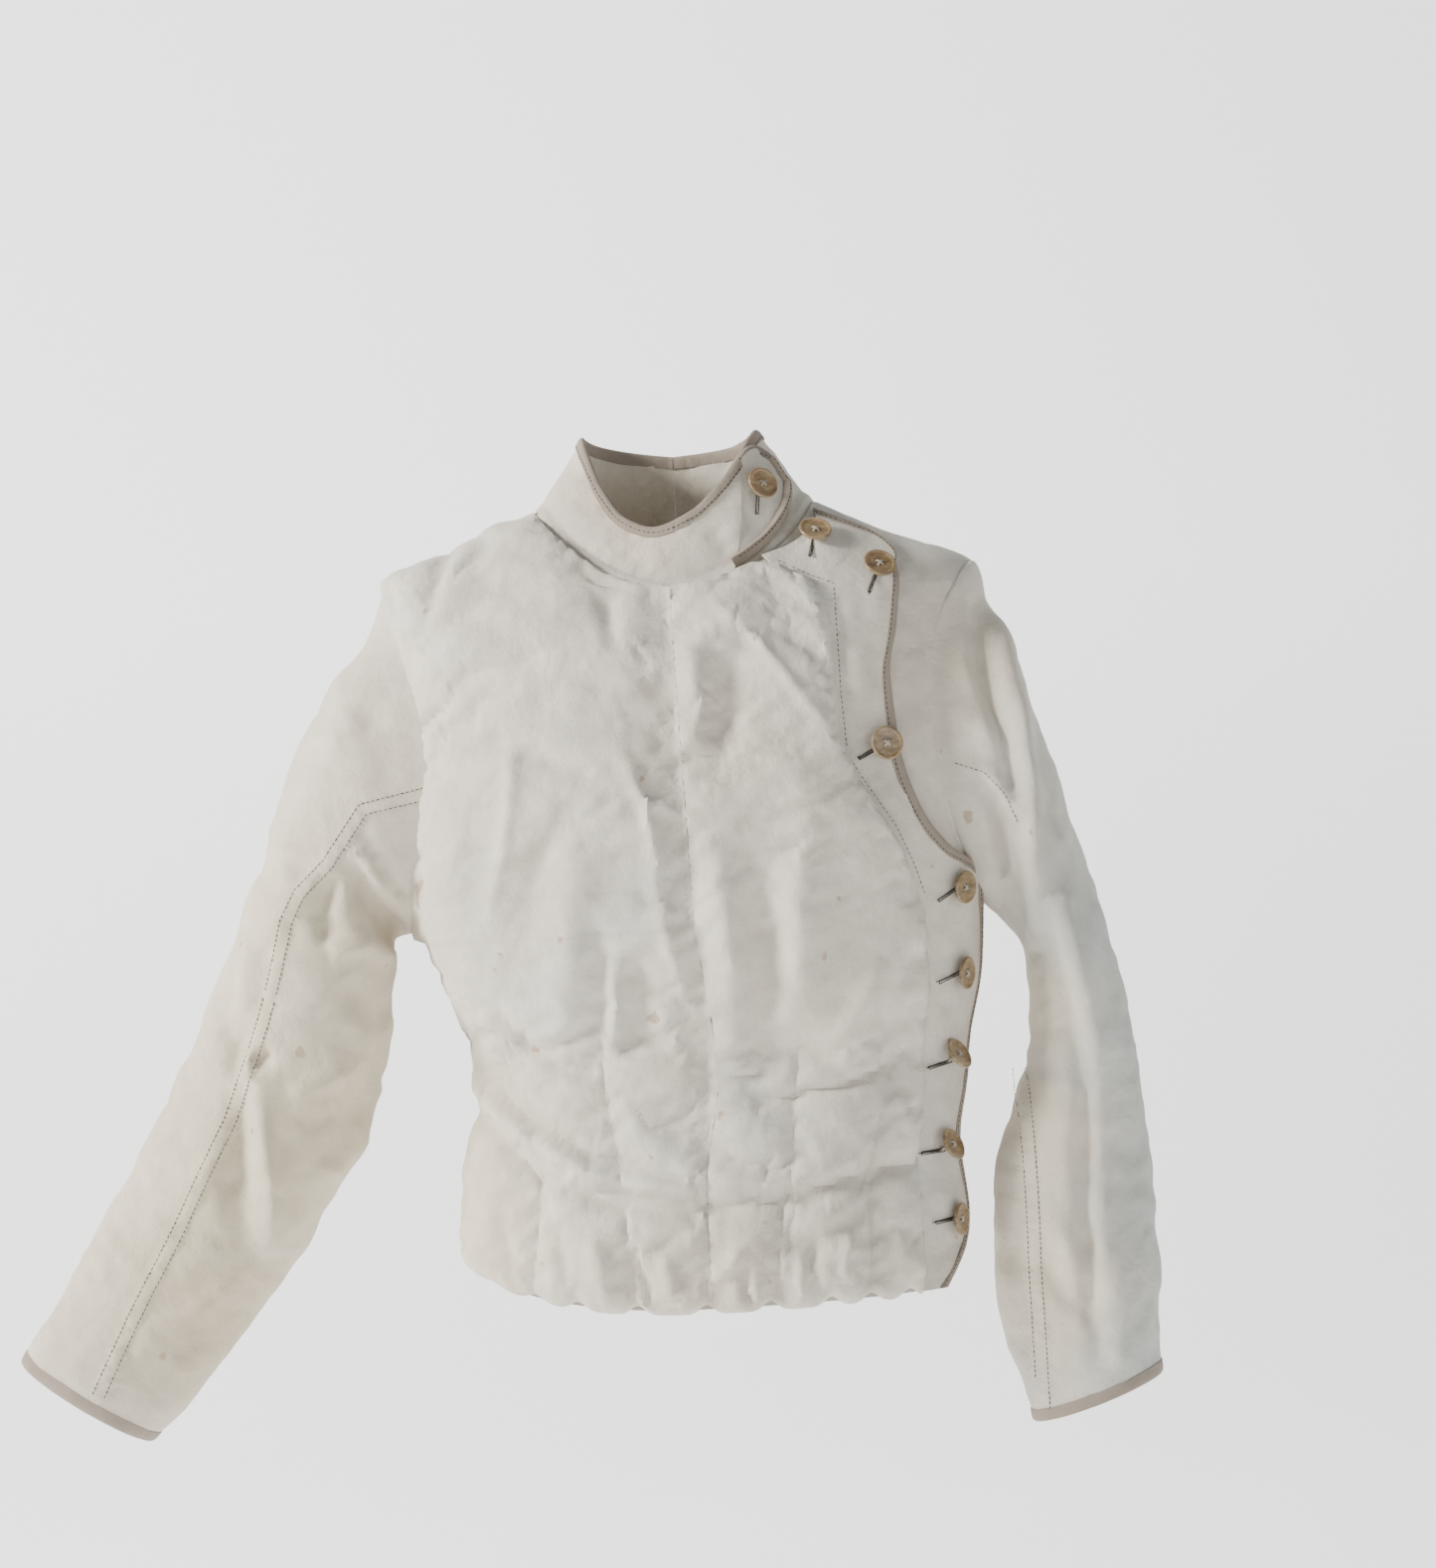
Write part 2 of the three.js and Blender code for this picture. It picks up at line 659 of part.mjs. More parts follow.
hemTape(
  "overlap_hem_binding",
  frontAngle(bandRows.at(-1)[0]) + 2 * seamAngle,
  centreFrontAngle - frontSeamAngle,
  6,
  liningFrom - bindingProud,
  shellTo,
  () => -hemDropFront,
);

// ---- Collar ---------------------------------------------------------------------------------------------------------------

// The collar stands just inside the neckline and leans in. Height 0 is the seam, 1 the top edge.
function neckRing(angle) {
  const [c, s] = [Math.cos(radians(angle)), Math.sin(radians(angle))];
  const depth = (s > 0 ? neckFrontDepth : neckBackDepth) - collarInset;
  return new THREE.Vector3((neckHalfWidth - collarInset) * c, -s * depth, neckZ(angle) + collarLift);
}

// The top edge, from the wearer's left over the front to the right and round the back:
// [angle, share of the rise from its lowest place in front]
const collarTopRise = curveThrough([
  [-90, 0.83], [-50, 0.87], [-20, 0.97], [5, 1], [25, 0.9], [42, 0.68], [60, 0.4], [80, 0.14], [104, 0],
  [125, 0.12], [145, 0.45], [165, 0.85], [180, 1], [215, 0.94], [270, 0.83],
]);
function collarTop(angle) {
  const s = Math.sin(radians(angle));
  const [share] = collarTopRise(angle > 270 ? angle - 360 : angle);
  return new THREE.Vector3(
    collarTopHalfWidth * Math.cos(radians(angle)),
    -s * (s > 0 ? collarTopFrontDepth : collarTopBackDepth),
    lerp(-collarFrontDrop, collarSideRise, share),
  );
}
const collarPoint = (angle, height) => neckRing(angle).lerp(collarTop(angle), height);
const collarOut = (p) => new THREE.Vector3(p.x, p.y, 0);
const collarSeam = 1 - collarBindingShare;
const collarFrom = 0.6;
const collarTo = collarFrom + collarThickness;

// One stretch of the collar and its binding, between two angles that may lean with the height
function collarPiece(name, from, to, columns, step = 0) {
  const surface = (across, height) => collarPoint(lerp(from(height), to(height), across), height);
  const places = (low, high, rows) =>
    spread(low, high, rows).map((height) => spread(0, 1, columns).map((across) => [across, height]));
  const inner = collarFrom - step;
  const body = sheet(surface, places(0, collarSeam, 3), collarOut);
  piece(name, layer(body, inner, inner + collarThickness), drill());
  const edge = sheet(surface, places(collarSeam + 0.012, 1, 2), collarOut);
  piece(`${name}_binding`, layer(edge, inner - bindingProud, inner + collarThickness + bindingProud), tape());
}

const flat = (value) => () => value;
const tabRoot = (height) => lerp(66, 42, height);
collarPiece("collar_right", flat(centreFrontAngle + 0.7), flat(centreBack - 0.4), 14);
collarPiece("collar_underlap", flat(centreBack + 0.4), flat(360 + 84), 14, underlapStep);
collarPiece("collar_front", (height) => tabRoot(height) + 0.6, flat(centreFrontAngle - 0.7), 4);

// The tab, from its root round the wearer's left to a rounded end
const tabEnd = 17;
const tabLean = 0.46; // the height of its tip
const tabPoint = (along, height) => collarPoint(lerp(tabRoot(height) - 0.6, tabEnd, along), height);
const tabSpan = (along) => Math.sqrt(Math.max(0, 1 - Math.abs(0.95 * along) ** 2.4));
const tabHigh = (along) => tabLean + (1 - tabLean) * tabSpan(along);
const tabLow = (along) => tabLean - (tabLean - 0.05) * tabSpan(along);
const tabPlaces = [0, 0.18, 0.36, 0.54, 0.7, 0.83, 0.93, 1];
const tabInner = 0.82; // how much of the tab is inside its binding
const tabCloth = (along, across) => {
  const reach = along * tabInner;
  return tabPoint(reach, lerp(lerp(tabLean, tabLow(along), tabInner), lerp(tabLean, tabHigh(along), tabInner), across));
};
const tabSheet = sheet(
  tabCloth,
  tabPlaces.map((along) => spread(0, 1, 4).map((across) => [along, across])),
  collarOut,
);
const tabButtonFrame = (() => {
  const [along, height] = [0.36, 0.58];
  const here = tabPoint(along, height);
  const across = tabPoint(along + 0.2, height + 0.16).sub(here);
  const up = tabPoint(along, height + 0.1).sub(here);
  const normal = across.clone().cross(up).normalize();
  if (normal.dot(collarOut(here)) < 0) normal.negate();
  here.addScaledVector(normal, collarTo - underlapStep);
  return frameAt(here, here.clone().add(across), normal);
})();
const tabShank = underlapStep + shankClearance - shankFoot;
const tabPivot = underlapStep - collarThickness / 2;
piece(
  "collar_tab",
  cutAway(layer(tabSheet, collarFrom, collarTo), [slotCutter(tabButtonFrame, 14)]),
  drill(),
);
sewButton(1, tabButtonFrame, tabShank, tabPivot);

// The tab's binding follows its outline from the top of the root, round the end and back to the foot.
const tabOutline = [...tabPlaces.map((along) => [along, 1]), ...tabPlaces.toReversed().map((along) => [along, -1])];
const outlineAt = curveThrough(
  tabOutline.map(([along, side], i) => [i / (tabOutline.length - 1), along, side > 0 ? tabHigh(along) : tabLow(along)]),
);
const tabEdge = (around, out) => {
  const [along, height] = outlineAt(around);
  return tabPoint(along * out, lerp(tabLean, height, out));
};
const tabTape = sheet(
  tabEdge,
  spread(0, 1, 2 * tabPlaces.length).map((around) => [tabInner + 0.015, 1].map((out) => [around, out])),
  collarOut,
);
piece("collar_tab_binding", layer(tabTape, collarFrom - bindingProud, collarTo + bindingProud), tape());

// ---- Sleeves -----------------------------------------------------------------------------------------------------------------

// A sleeve's sections from the armhole to the cuff, as [outer x, outer drop, inner x, inner drop, half depth, forward],
// where outer is the side away from the body and forward is how far the sleeve has come to the front.
const sleeveLeftSections = [
  [shoulderHalfWidth - 2, shoulderDrop - 2, shoulderHalfWidth - 2, armpitDrop + 1, 64, 8],
  [shoulderHalfWidth + 32, shoulderDrop + 90, shoulderHalfWidth + 10, armpitDrop + 22, 64, 8],
  [shoulderHalfWidth + 65, armpitDrop - 18, shoulderHalfWidth + 20, armpitDrop + 52, 62, 8],
  [shoulderHalfWidth + 92, armpitDrop + 106, shoulderHalfWidth + 19, armpitDrop + 112, 58, 10],
  [shoulderHalfWidth + 101, armpitDrop + 195, shoulderHalfWidth - 12, armpitDrop + 202, 44, 16],
  [shoulderHalfWidth + 100, armpitDrop + 268, shoulderHalfWidth - 14, armpitDrop + 278, 38, 22],
  [shoulderHalfWidth + 98, armpitDrop + 338, shoulderHalfWidth + 6, armpitDrop + 368, 33, 28],
];
const sleeveRightSections = [
  [shoulderHalfWidth - 2, shoulderDrop - 2, shoulderHalfWidth - 2, armpitDrop + 1, 64, 8],
  [shoulderHalfWidth + 58, shoulderDrop + 88, shoulderHalfWidth + 7, armpitDrop + 14, 62, 8],
  [shoulderHalfWidth + 106, shoulderDrop + 201, shoulderHalfWidth + 6, armpitDrop + 30, 58, 8],
  [shoulderHalfWidth + 149, armpitDrop + 66, shoulderHalfWidth + 29, armpitDrop + 136, 50, 12],
  [shoulderHalfWidth + 201, armpitDrop + 160, shoulderHalfWidth + 91, armpitDrop + 231, 44, 18],
  [shoulderHalfWidth + 243, armpitDrop + 228, shoulderHalfWidth + 143, armpitDrop + 296, 38, 24],
  [shoulderHalfWidth + 281, armpitDrop + 286, shoulderHalfWidth + 193, armpitDrop + 346, 33, 30],
];
const elbowPlace = 0.5;

// A point of a sleeve: along from 0 at the armhole to 1 at the cuff, round from 0 outer, 90 front, 180 inner.
function sleeveShape(sections, side) {
  const at = curveThrough(sections.map((row, i) => [i / (sections.length - 1), ...row]));
  return (along, round) => {
    const [outerX, outerDrop, innerX, innerDrop, halfDepth, forward] = at(along);
    const [c, s] = [Math.cos(radians(round)), Math.sin(radians(round))];
    const share = (1 - c) / 2;
    const seam = (1 - clamp(along / 0.25, 0, 1)) ** 2;
    const scoop = armholeScoop * s * s * seam;
    return new THREE.Vector3(
      side * (lerp(outerX, innerX, share) - scoop),
      -forward - s * halfDepth,
      -lerp(outerDrop, innerDrop, share),
    );
  };
}

const sleeveCentre = (shape, along) => shape(along, 0).add(shape(along, 180)).multiplyScalar(0.5);

// One panel of a sleeve, between two places along it at each angle round it
function sleevePanel(name, shape, rounds, from, to, rows) {
  const surface = (share, round) => shape(lerp(from(round), to(round), share), round);
  const places = spread(0, 1, rows).map((share) => rounds.map((round) => [share, round]));
  const centres = spread(0, 1, 25).map((along) => sleeveCentre(shape, along));
  const nearest = (p) => centres.reduce((a, b) => (a.distanceTo(p) < b.distanceTo(p) ? a : b));
  const panel = sheet(surface, places, (p) => p.clone().sub(nearest(p)));
  piece(name, layer(panel, -sleeveThickness, 0), drill());
}

const gussetDepth = 0.15;
const gussetEdge = 72; // degrees either side of the inner line
const gussetGap = 0.003; // share of the sleeve's length
const gussetShape = (round) => gussetDepth * clamp(1 - Math.abs(round - 180) / gussetEdge, 0, 1);

function sleeve(side, sections, sign) {
  const shape = sleeveShape(sections, sign);
  const start = flat(0.006);
  const outer = spread(-90 + halfSeam, 90 - halfSeam, 8);
  const inner = spread(90 + halfSeam, 270 - halfSeam, 8);
  const above = flat(elbowPlace - elbowGap / 1200);
  const below = flat(elbowPlace + elbowGap / 1200);
  const cuff = flat(1 - cuffBindingLength / 600);
  sleevePanel(`${side}_top_sleeve`, shape, outer, start, above, 6);
  sleevePanel(`${side}_under_sleeve`, shape, inner, (round) => start() + gussetShape(round) + gussetGap, above, 6);
  sleevePanel(`${side}_top_forearm`, shape, outer, below, cuff, 5);
  sleevePanel(`${side}_under_forearm`, shape, inner, below, cuff, 5);
  const middle = inner.slice(1, -1);
  sleevePanel(`${side}_gusset`, shape, middle, start, (round) => start() + gussetShape(round) - gussetGap, 3);
  cuffBinding(`${side}_cuff_binding`, shape, cuff() + 0.001);
}

// The cuff's binding is one closed ring of tape
function cuffBinding(name, shape, from) {
  const rounds = spread(0, 360, 21).slice(0, -1);
  const ring = (along, offset) =>
    rounds.map((round) => {
      const p = shape(along, round);
      return p.addScaledVector(p.clone().sub(sleeveCentre(shape, along)).normalize(), offset);
    });
  const loops = [
    ring(from, bindingProud),
    ring(1, bindingProud),
    ring(1, -sleeveThickness - bindingProud),
    ring(from, -sleeveThickness - bindingProud),
  ];
  const positions = loops.flat().flatMap((p) => [...p]);
  const n = rounds.length;
  const triangles = [];
  for (let k = 0; k < 4; k++) {
    for (let i = 0; i < n; i++) {
      const [a, b] = [k * n + i, k * n + ((i + 1) % n)];
      const [c, d] = [((k + 1) % 4) * n + ((i + 1) % n), ((k + 1) % 4) * n + i];
      triangles.push(a, b, c, a, c, d);
    }
  }
  piece(name, facingOut(positions, triangles), tape());
}

sleeve("left", sleeveLeftSections, 1);
sleeve("right", sleeveRightSections, -1);

// ---- Hanging loop --------------------------------------------------------------------------------------------------------------

const neckBackZ = neckZ(centreBack);
const neckBack = bodyPoint(centreBack, neckBackZ);
const loopPoint = (share, height) => {
  const z = neckBackZ - 10 + loopWidth * height;
  const inside = bodyPoint(centreBack, z).y - shellThickness - 3 * layerGap - loopThickness;
  return new THREE.Vector3((share * loopLength) / 2, inside - loopBow * (1 - share ** 4), z);
};
const loopSheet = sheet(loopPoint, spread(-1, 1, 11).map((share) => [0, 1].map((height) => [share, height])), () =>
  new THREE.Vector3(0, -1, 0),
);
piece("hanging_loop", layer(loopSheet, 0, loopThickness), tape());

jacket.position.set(0, -neckBack.y, -neckBackZ);

export default jacket;
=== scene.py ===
# %% [markdown]
# # A padded jacket that laps over and buttons down one side
# The jacket is cotton drill quilted over wadding. Its front wraps over to the wearer's left, where nine horn
# buttons hold it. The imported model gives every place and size. This file only gives the cloth its look:
# puffed padding, folds, seams, stitches, tape and horn. A whole garment could be simulated from flat patterns,
# but its folds would then fall where the solver puts them. Here the folds are written down where they belong,
# and a short simulation of the two padded fronts adds small puckers.

# %% Load the frame
import math

import bpy
import numpy as np
from mathutils import Matrix, Vector

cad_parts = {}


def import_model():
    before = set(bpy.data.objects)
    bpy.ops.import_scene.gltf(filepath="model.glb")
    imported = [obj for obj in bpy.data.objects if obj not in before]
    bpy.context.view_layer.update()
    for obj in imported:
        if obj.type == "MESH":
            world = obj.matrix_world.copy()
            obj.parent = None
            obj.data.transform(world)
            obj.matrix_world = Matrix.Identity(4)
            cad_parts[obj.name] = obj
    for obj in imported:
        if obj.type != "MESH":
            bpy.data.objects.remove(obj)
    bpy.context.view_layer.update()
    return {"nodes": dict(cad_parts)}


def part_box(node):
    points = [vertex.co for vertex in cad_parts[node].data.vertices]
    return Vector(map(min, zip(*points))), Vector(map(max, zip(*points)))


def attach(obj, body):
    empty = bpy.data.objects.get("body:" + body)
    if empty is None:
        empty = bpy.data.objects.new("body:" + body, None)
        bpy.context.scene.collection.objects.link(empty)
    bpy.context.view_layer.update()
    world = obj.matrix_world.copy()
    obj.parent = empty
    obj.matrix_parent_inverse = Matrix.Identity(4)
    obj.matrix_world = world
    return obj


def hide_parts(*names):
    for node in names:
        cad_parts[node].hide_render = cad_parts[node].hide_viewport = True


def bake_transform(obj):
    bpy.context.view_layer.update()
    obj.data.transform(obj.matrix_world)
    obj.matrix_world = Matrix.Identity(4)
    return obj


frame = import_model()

# %% [markdown]
# ## The wearer's shape
# All cloth lies on one smooth form, like a tailor's dummy. Each level of the dummy is a rounded oval with its
# own half width, sideways shift, front depth and back depth. A table with a smooth curve through it is easier
# to tune than a sculpted mesh, and every panel that is laid on it fits its neighbours. Millimetres are used
# until a mesh is made.

# %% Smooth curves and the dummy
def curve_through(rows):
    """A curve through rows of [x, value, ...] that never overshoots them."""
    rows = np.array(rows, float)
    x, y = rows[:, 0], rows[:, 1:]
    slope = np.diff(y, axis=0) / np.diff(x)[:, None]
    tangent = np.zeros_like(y)
    tangent[0], tangent[-1] = slope[0], slope[-1]
    before, after = slope[:-1], slope[1:]
    same = before * after > 0
    tangent[1:-1] = np.where(same, 2 * before * after / np.where(same, before + after, 1), 0)

    def at(q):
        q = np.clip(np.asarray(q, float), x[0], x[-1])
        i = np.clip(np.searchsorted(x, q, side="right") - 1, 0, len(x) - 2)
        span = (x[i + 1] - x[i])[..., None]
        t = (q - x[i])[..., None] / span
        return ((1 + 2 * t) * (1 - t) ** 2 * y[i] + t * (1 - t) ** 2 * span * tangent[i]
                + t * t * (3 - 2 * t) * y[i + 1] + t * t * (t - 1) * span * tangent[i + 1])

    return at


POWER = 2.3  # 2 is an ellipse, more is boxier
SECTION = curve_through([
    [0, 97, 0, 26, 30], [25, 152, 0, 47, 54], [50, 207, 0, 65, 69], [66, 211.5, 0, 74.5, 74],
    [154.4, 210, 1, 96, 84], [217.04, 206, 2, 101, 82], [291, 194, 3, 100, 78], [338.5, 182.3, 9, 94, 72],
    [395, 168, 12, 84, 66], [463.2, 171.6, 1, 87, 72], [503.5, 174, 0, 92, 80], [560, 172, 0, 92, 80],
])


def cosd(angle):
    return np.cos(np.radians(angle))


def sind(angle):
    return np.sin(np.radians(angle))


def signed_power(value, power):
    return np.sign(value) * np.abs(value) ** power


def body_point(angle, z):
    """The dummy's surface: angle 0 is the wearer's left, 90 the front, 270 the back."""
    angle, z = np.broadcast_arrays(np.asarray(angle, float), np.asarray(z, float))
    s = SECTION(-z)
    across, out = signed_power(cosd(angle), 2 / POWER), signed_power(sind(angle), 2 / POWER)
    depth = np.where(out > 0, s[..., 2], s[..., 3])
    return np.stack([s[..., 1] + s[..., 0] * across, -out * depth, z], -1)


def solve(f, low, high):
    """The place between low and high where f changes sign, for whole arrays."""
    low, high = np.array(low, float), np.array(high, float)
    rising = f(high) > f(low)
    for _ in range(36):
        middle = (low + high) / 2
        up = (f(middle) > 0) == rising
        low, high = np.where(up, low, middle), np.where(up, middle, high)
    return (low + high) / 2


# %% Neckline, armholes and hem
NECK_HALF, NECK_FRONT, NECK_BACK = 97.0, 73.0, 58.0
ARMHOLE_TOP, ARMHOLE_BOTTOM = -49.0, -291.0


def neck_angle(z, side, middle):
    """The angle at each height where a panel meets the neckline, which is a standing oval tube."""
    z = np.asarray(z, float)
    lowest = 270.0 if middle > 180 else 90.0

    def oval(angle):
        p = body_point(angle, z)
        return np.hypot(p[..., 0] / NECK_HALF, p[..., 1] / np.where(p[..., 1] < 0, NECK_FRONT, NECK_BACK)) - 1

    edge = solve(oval, np.full(z.shape, float(side)), np.full(z.shape, lowest))
    edge = np.minimum(edge, middle) if side < lowest else np.maximum(edge, middle)
    edge = np.where(oval(np.full(z.shape, lowest)) > -1e-6, middle, edge)
    return np.where(z >= -0.01, side, edge)


def neck_z(angle):
    """The neckline's height at an angle round its oval."""
    angle = np.asarray(angle, float)
    c, s = cosd(angle), sind(angle)
    deep = np.where(s > 0, NECK_FRONT, NECK_BACK)

    def outside(drop):
        t = SECTION(drop)
        out = s * deep / np.where(s > 0, t[..., 2], t[..., 3])
        return np.abs(c * NECK_HALF / t[..., 0]) ** POWER + np.abs(out) ** POWER - 1

    found = -solve(outside, np.zeros(angle.shape), np.full(angle.shape, 85.0))
    return np.where(outside(np.zeros(angle.shape)) < 0, 0.0, found)


def armhole_x(z):
    level = np.clip((ARMHOLE_TOP - z) / (ARMHOLE_TOP - ARMHOLE_BOTTOM), 0, 1)
    return 204 - 24 * np.sin(np.pi * level)


def armhole_angle(z, side, quarter, margin, panel_side):
    """A panel's edge at the armhole, margin inside the seam, and its side edge below the armpit."""
    z = np.asarray(z, float)
    limit = armhole_x(z) - margin

    def reach(angle):
        return np.abs(body_point(angle, z)[..., 0]) - limit

    ends = np.full(z.shape, float(side))
    edge = solve(reach, ends, ends + (quarter - side) * 0.95)
    edge = np.where(reach(ends) < 0, side, edge)
    return np.where(z >= ARMHOLE_TOP, side, np.where(z <= ARMHOLE_BOTTOM, panel_side, edge))


def hem_z(angle):
    out = sind(angle)
    return -(512 + np.where(out > 0, 38, 18) * np.abs(out) ** 1.2)


# The frame's origin is the centre-back neck point, so that point of the dummy says how far to shift it.
SHIFT = np.array([0.0, -NECK_BACK, -float(neck_z(270.0))])
low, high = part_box("right_front_shell")
print("shift", SHIFT.round(2), "right front is %.3f m tall in the frame" % (high.z - low.z))

# %% [markdown]
# ## From grids of points to closed cloth
# A sheet of cloth is two grids of points, its outer and inner face, joined round the rim. Solidify could add
# the thickness, but padding is thick in the middle and thin at its seams, so both faces are placed. Lengths
# over the cloth become its UV map, for the weave, and a point colour called "tone" carries slow changes of
# colour, such as a stain, and also painted light and shade.

# %% Mesh helpers
def to_frame(points):
    return (np.asarray(points, float) + SHIFT) / 1000


def surface_normals(surface, u, v, outside):
    """Unit normals of a surface written as a function, on the side that outside(points) says."""
    e = 1e-3
    along = surface(u + e, v) - surface(u - e, v)
    down = surface(u, v + e) - surface(u, v - e)
    n = np.cross(along, down)
    n /= np.maximum(np.linalg.norm(n, axis=-1, keepdims=True), 1e-12)
    flip = (n * outside(surface(u, v))).sum(-1) < 0
    n[flip] *= -1
    return n


def grid_normals(grid, wrap=False):
    """Normals of a grid from its neighbours, unsigned."""
    if wrap:
        du = np.roll(grid, -1, 1) - np.roll(grid, 1, 1)
    else:
        du = np.gradient(grid, axis=1)
    n = np.cross(du, np.gradient(grid, axis=0))
    return n / np.maximum(np.linalg.norm(n, axis=-1, keepdims=True), 1e-9)


def from_axis(p):
    return np.stack([p[..., 0], p[..., 1], np.where(p[..., 2] > -50, 60.0, 0.0)], -1)


def from_middle(p):
    return np.stack([p[..., 0], p[..., 1], 0 * p[..., 0]], -1)


def linked_mesh(name, points, faces, uv, tone, crease):
    """An object in the scene from points in metres, with its cut lengths as UVs and its shade factors."""
    mesh = bpy.data.meshes.new(name)
    mesh.from_pydata(points.tolist(), [], faces)
    if uv is not None:
        layer = mesh.uv_layers.new(name="cut")
        loops = np.zeros(len(mesh.loops), np.int32)
        mesh.loops.foreach_get("vertex_index", loops)
        layer.data.foreach_set("uv", (np.asarray(uv)[loops] / 1000).astype(np.float32).ravel())
    shade = mesh.color_attributes.new(name="tone", type="FLOAT_COLOR", domain="POINT")
    colour = np.ones((len(points), 4), np.float32)
    if tone is not None:
        colour[:, :3] = tone
    shade.data.foreach_set("color", colour.ravel())
    mesh.shade_smooth()
    mesh.set_sharp_from_angle(angle=math.radians(crease))
    piece = bpy.data.objects.new(name, mesh)
    bpy.context.scene.collection.objects.link(piece)
    return piece


def make_mesh(name, points, faces, uv=None, tone=None, crease=50):
    """A mesh object at the origin, smooth with sharp rims, its faces turned outwards."""
    points, faces = to_frame(points), np.asarray(faces)
    a, b, c = points[faces[:, 0]], points[faces[:, 1]], points[faces[:, 2]]
    volume = (a * np.cross(b, c)).sum()
    if faces.shape[1] == 4:
        d = points[faces[:, 3]]
        volume += (a * np.cross(c, d)).sum()
    if volume < 0:
        faces = faces[:, ::-1]
    return linked_mesh(name, points, faces.tolist(), uv, tone, crease)


def cloth_solid(name, outer, inner, tone=None, wrap=False):
    """Closed cloth between two grids of points. wrap joins the last column to the first."""
    rows, columns = outer.shape[:2]
    n = rows * columns
    i = np.arange(n).reshape(rows, columns)
    right = np.roll(i, -1, 1) if wrap else i[:, 1:]
    left = i if wrap else i[:, :-1]
    a, b, c, d = left[:-1], right[:-1], right[1:], left[1:]

    def quads(*corners):
        return np.stack([q.ravel() for q in corners], -1)

    faces = [quads(a, b, c, d), quads(a + n, d + n, c + n, b + n),
             quads(right[0], left[0], left[0] + n, right[0] + n),
             quads(left[-1], right[-1], right[-1] + n, left[-1] + n)]
    if not wrap:
        faces += [quads(i[:-1, 0], i[1:, 0], i[1:, 0] + n, i[:-1, 0] + n),
                  quads(i[1:, -1], i[:-1, -1], i[:-1, -1] + n, i[1:, -1] + n)]
    step_u = np.linalg.norm(np.diff(outer, axis=1), axis=-1)
    step_v = np.linalg.norm(np.diff(outer, axis=0), axis=-1)
    u = np.concatenate([np.zeros((rows, 1)), np.cumsum(step_u, 1)], 1)
    v = np.concatenate([np.zeros((1, columns)), np.cumsum(step_v, 0)], 0)
    flat = np.stack([u - u[:, -1:] / 2, v], -1).reshape(-1, 2)
    both = None if tone is None else np.concatenate([tone.reshape(-1, 3)] * 2)
    piece = make_mesh(name, np.concatenate([outer.reshape(-1, 3), inner.reshape(-1, 3)]),
                      np.concatenate(faces), np.concatenate([flat, flat]), both)
    piece["width"], piece["length"] = float(u[:, -1].mean()) / 1000, float(v[-1].mean()) / 1000
    step = outer[1:, :-1] - outer[:-1, :-1], outer[:-1, 1:] - outer[:-1, :-1]
    piece["area"] = float(np.linalg.norm(np.cross(*step), axis=-1).sum()) / 1e6
    return piece


# %% [markdown]
# ## Folds
# A fold is a soft ridge or valley along a line. Looked at from the front, its line is a few points across and
# up, with a width and a height. Adding them up moves the cloth in or out along its normal. Smaller crumples
# come from smooth random numbers on a lattice, with a fixed seed so that every run is the same.

# %% Fold tools
def line_distance(points, line):
    """Distance from points to a line of places, and the share of the way along it."""
    line = np.array(line, float)
    lengths = np.linalg.norm(np.diff(line, axis=0), axis=1)
    starts = np.concatenate([[0], np.cumsum(lengths)])
    best, share = np.full(points.shape[:-1], 1e9), np.zeros(points.shape[:-1])
    for k in range(len(line) - 1):
        a, d = line[k], line[k + 1] - line[k]
        t = np.clip(((points - a) @ d) / (d @ d), 0, 1)
        gap = np.linalg.norm(points - (a + t[..., None] * d), axis=-1)
        nearer = gap < best
        best = np.where(nearer, gap, best)
        share = np.where(nearer, (starts[k] + t * lengths[k]) / starts[-1], share)
    return best, share


def folds(points, table, strength=1.0):
    total = np.zeros(points.shape[:-1])
    for line, width, height in table:
        gap, share = line_distance(points, line)
        total += strength * height * np.exp(-(gap / width) ** 2) * np.sqrt(np.clip(4 * share * (1 - share), 0, 1))
    return total


LATTICES = {}


def rumple(points, size, seed):
    """Smooth random values from -1 to 1, changing over size millimetres, which may be three sizes."""
    if seed not in LATTICES:
        LATTICES[seed] = np.random.RandomState(seed).rand(48, 48, 48) * 2 - 1
    q = points / np.array(size, float) + 1000
    i = np.floor(q).astype(int)
    f = q - i
    f = f * f * (3 - 2 * f)
    total = 0
    for dx in (0, 1):
        for dy in (0, 1):
            for dz in (0, 1):
                w = (np.where(dx, f[..., 0], 1 - f[..., 0]) * np.where(dy, f[..., 1], 1 - f[..., 1])
                     * np.where(dz, f[..., 2], 1 - f[..., 2]))
                total = total + w * LATTICES[seed][(i[..., 0] + dx) % 48, (i[..., 1] + dy) % 48, (i[..., 2] + dz) % 48]
    return total


def turned(points, degrees):
    """Points turned in the front view, so that crumples can run slanting."""
    c, s = math.cos(math.radians(degrees)), math.sin(math.radians(degrees))
    return np.stack([c * points[..., 0] + s * points[..., 2], points[..., 1],
                     -s * points[..., 0] + c * points[..., 2]], -1)


def smooth_step(value, low, high):
    t = np.clip((value - low) / (high - low), 0, 1)
    return t * t * (3 - 2 * t)


def rounded(distance, radius):
    """0 at an edge and 1 from radius inwards, as a quarter circle."""
    t = 1 - np.clip(distance / radius, 0, 1)
    return np.sqrt(np.clip(1 - t * t, 0, 1))


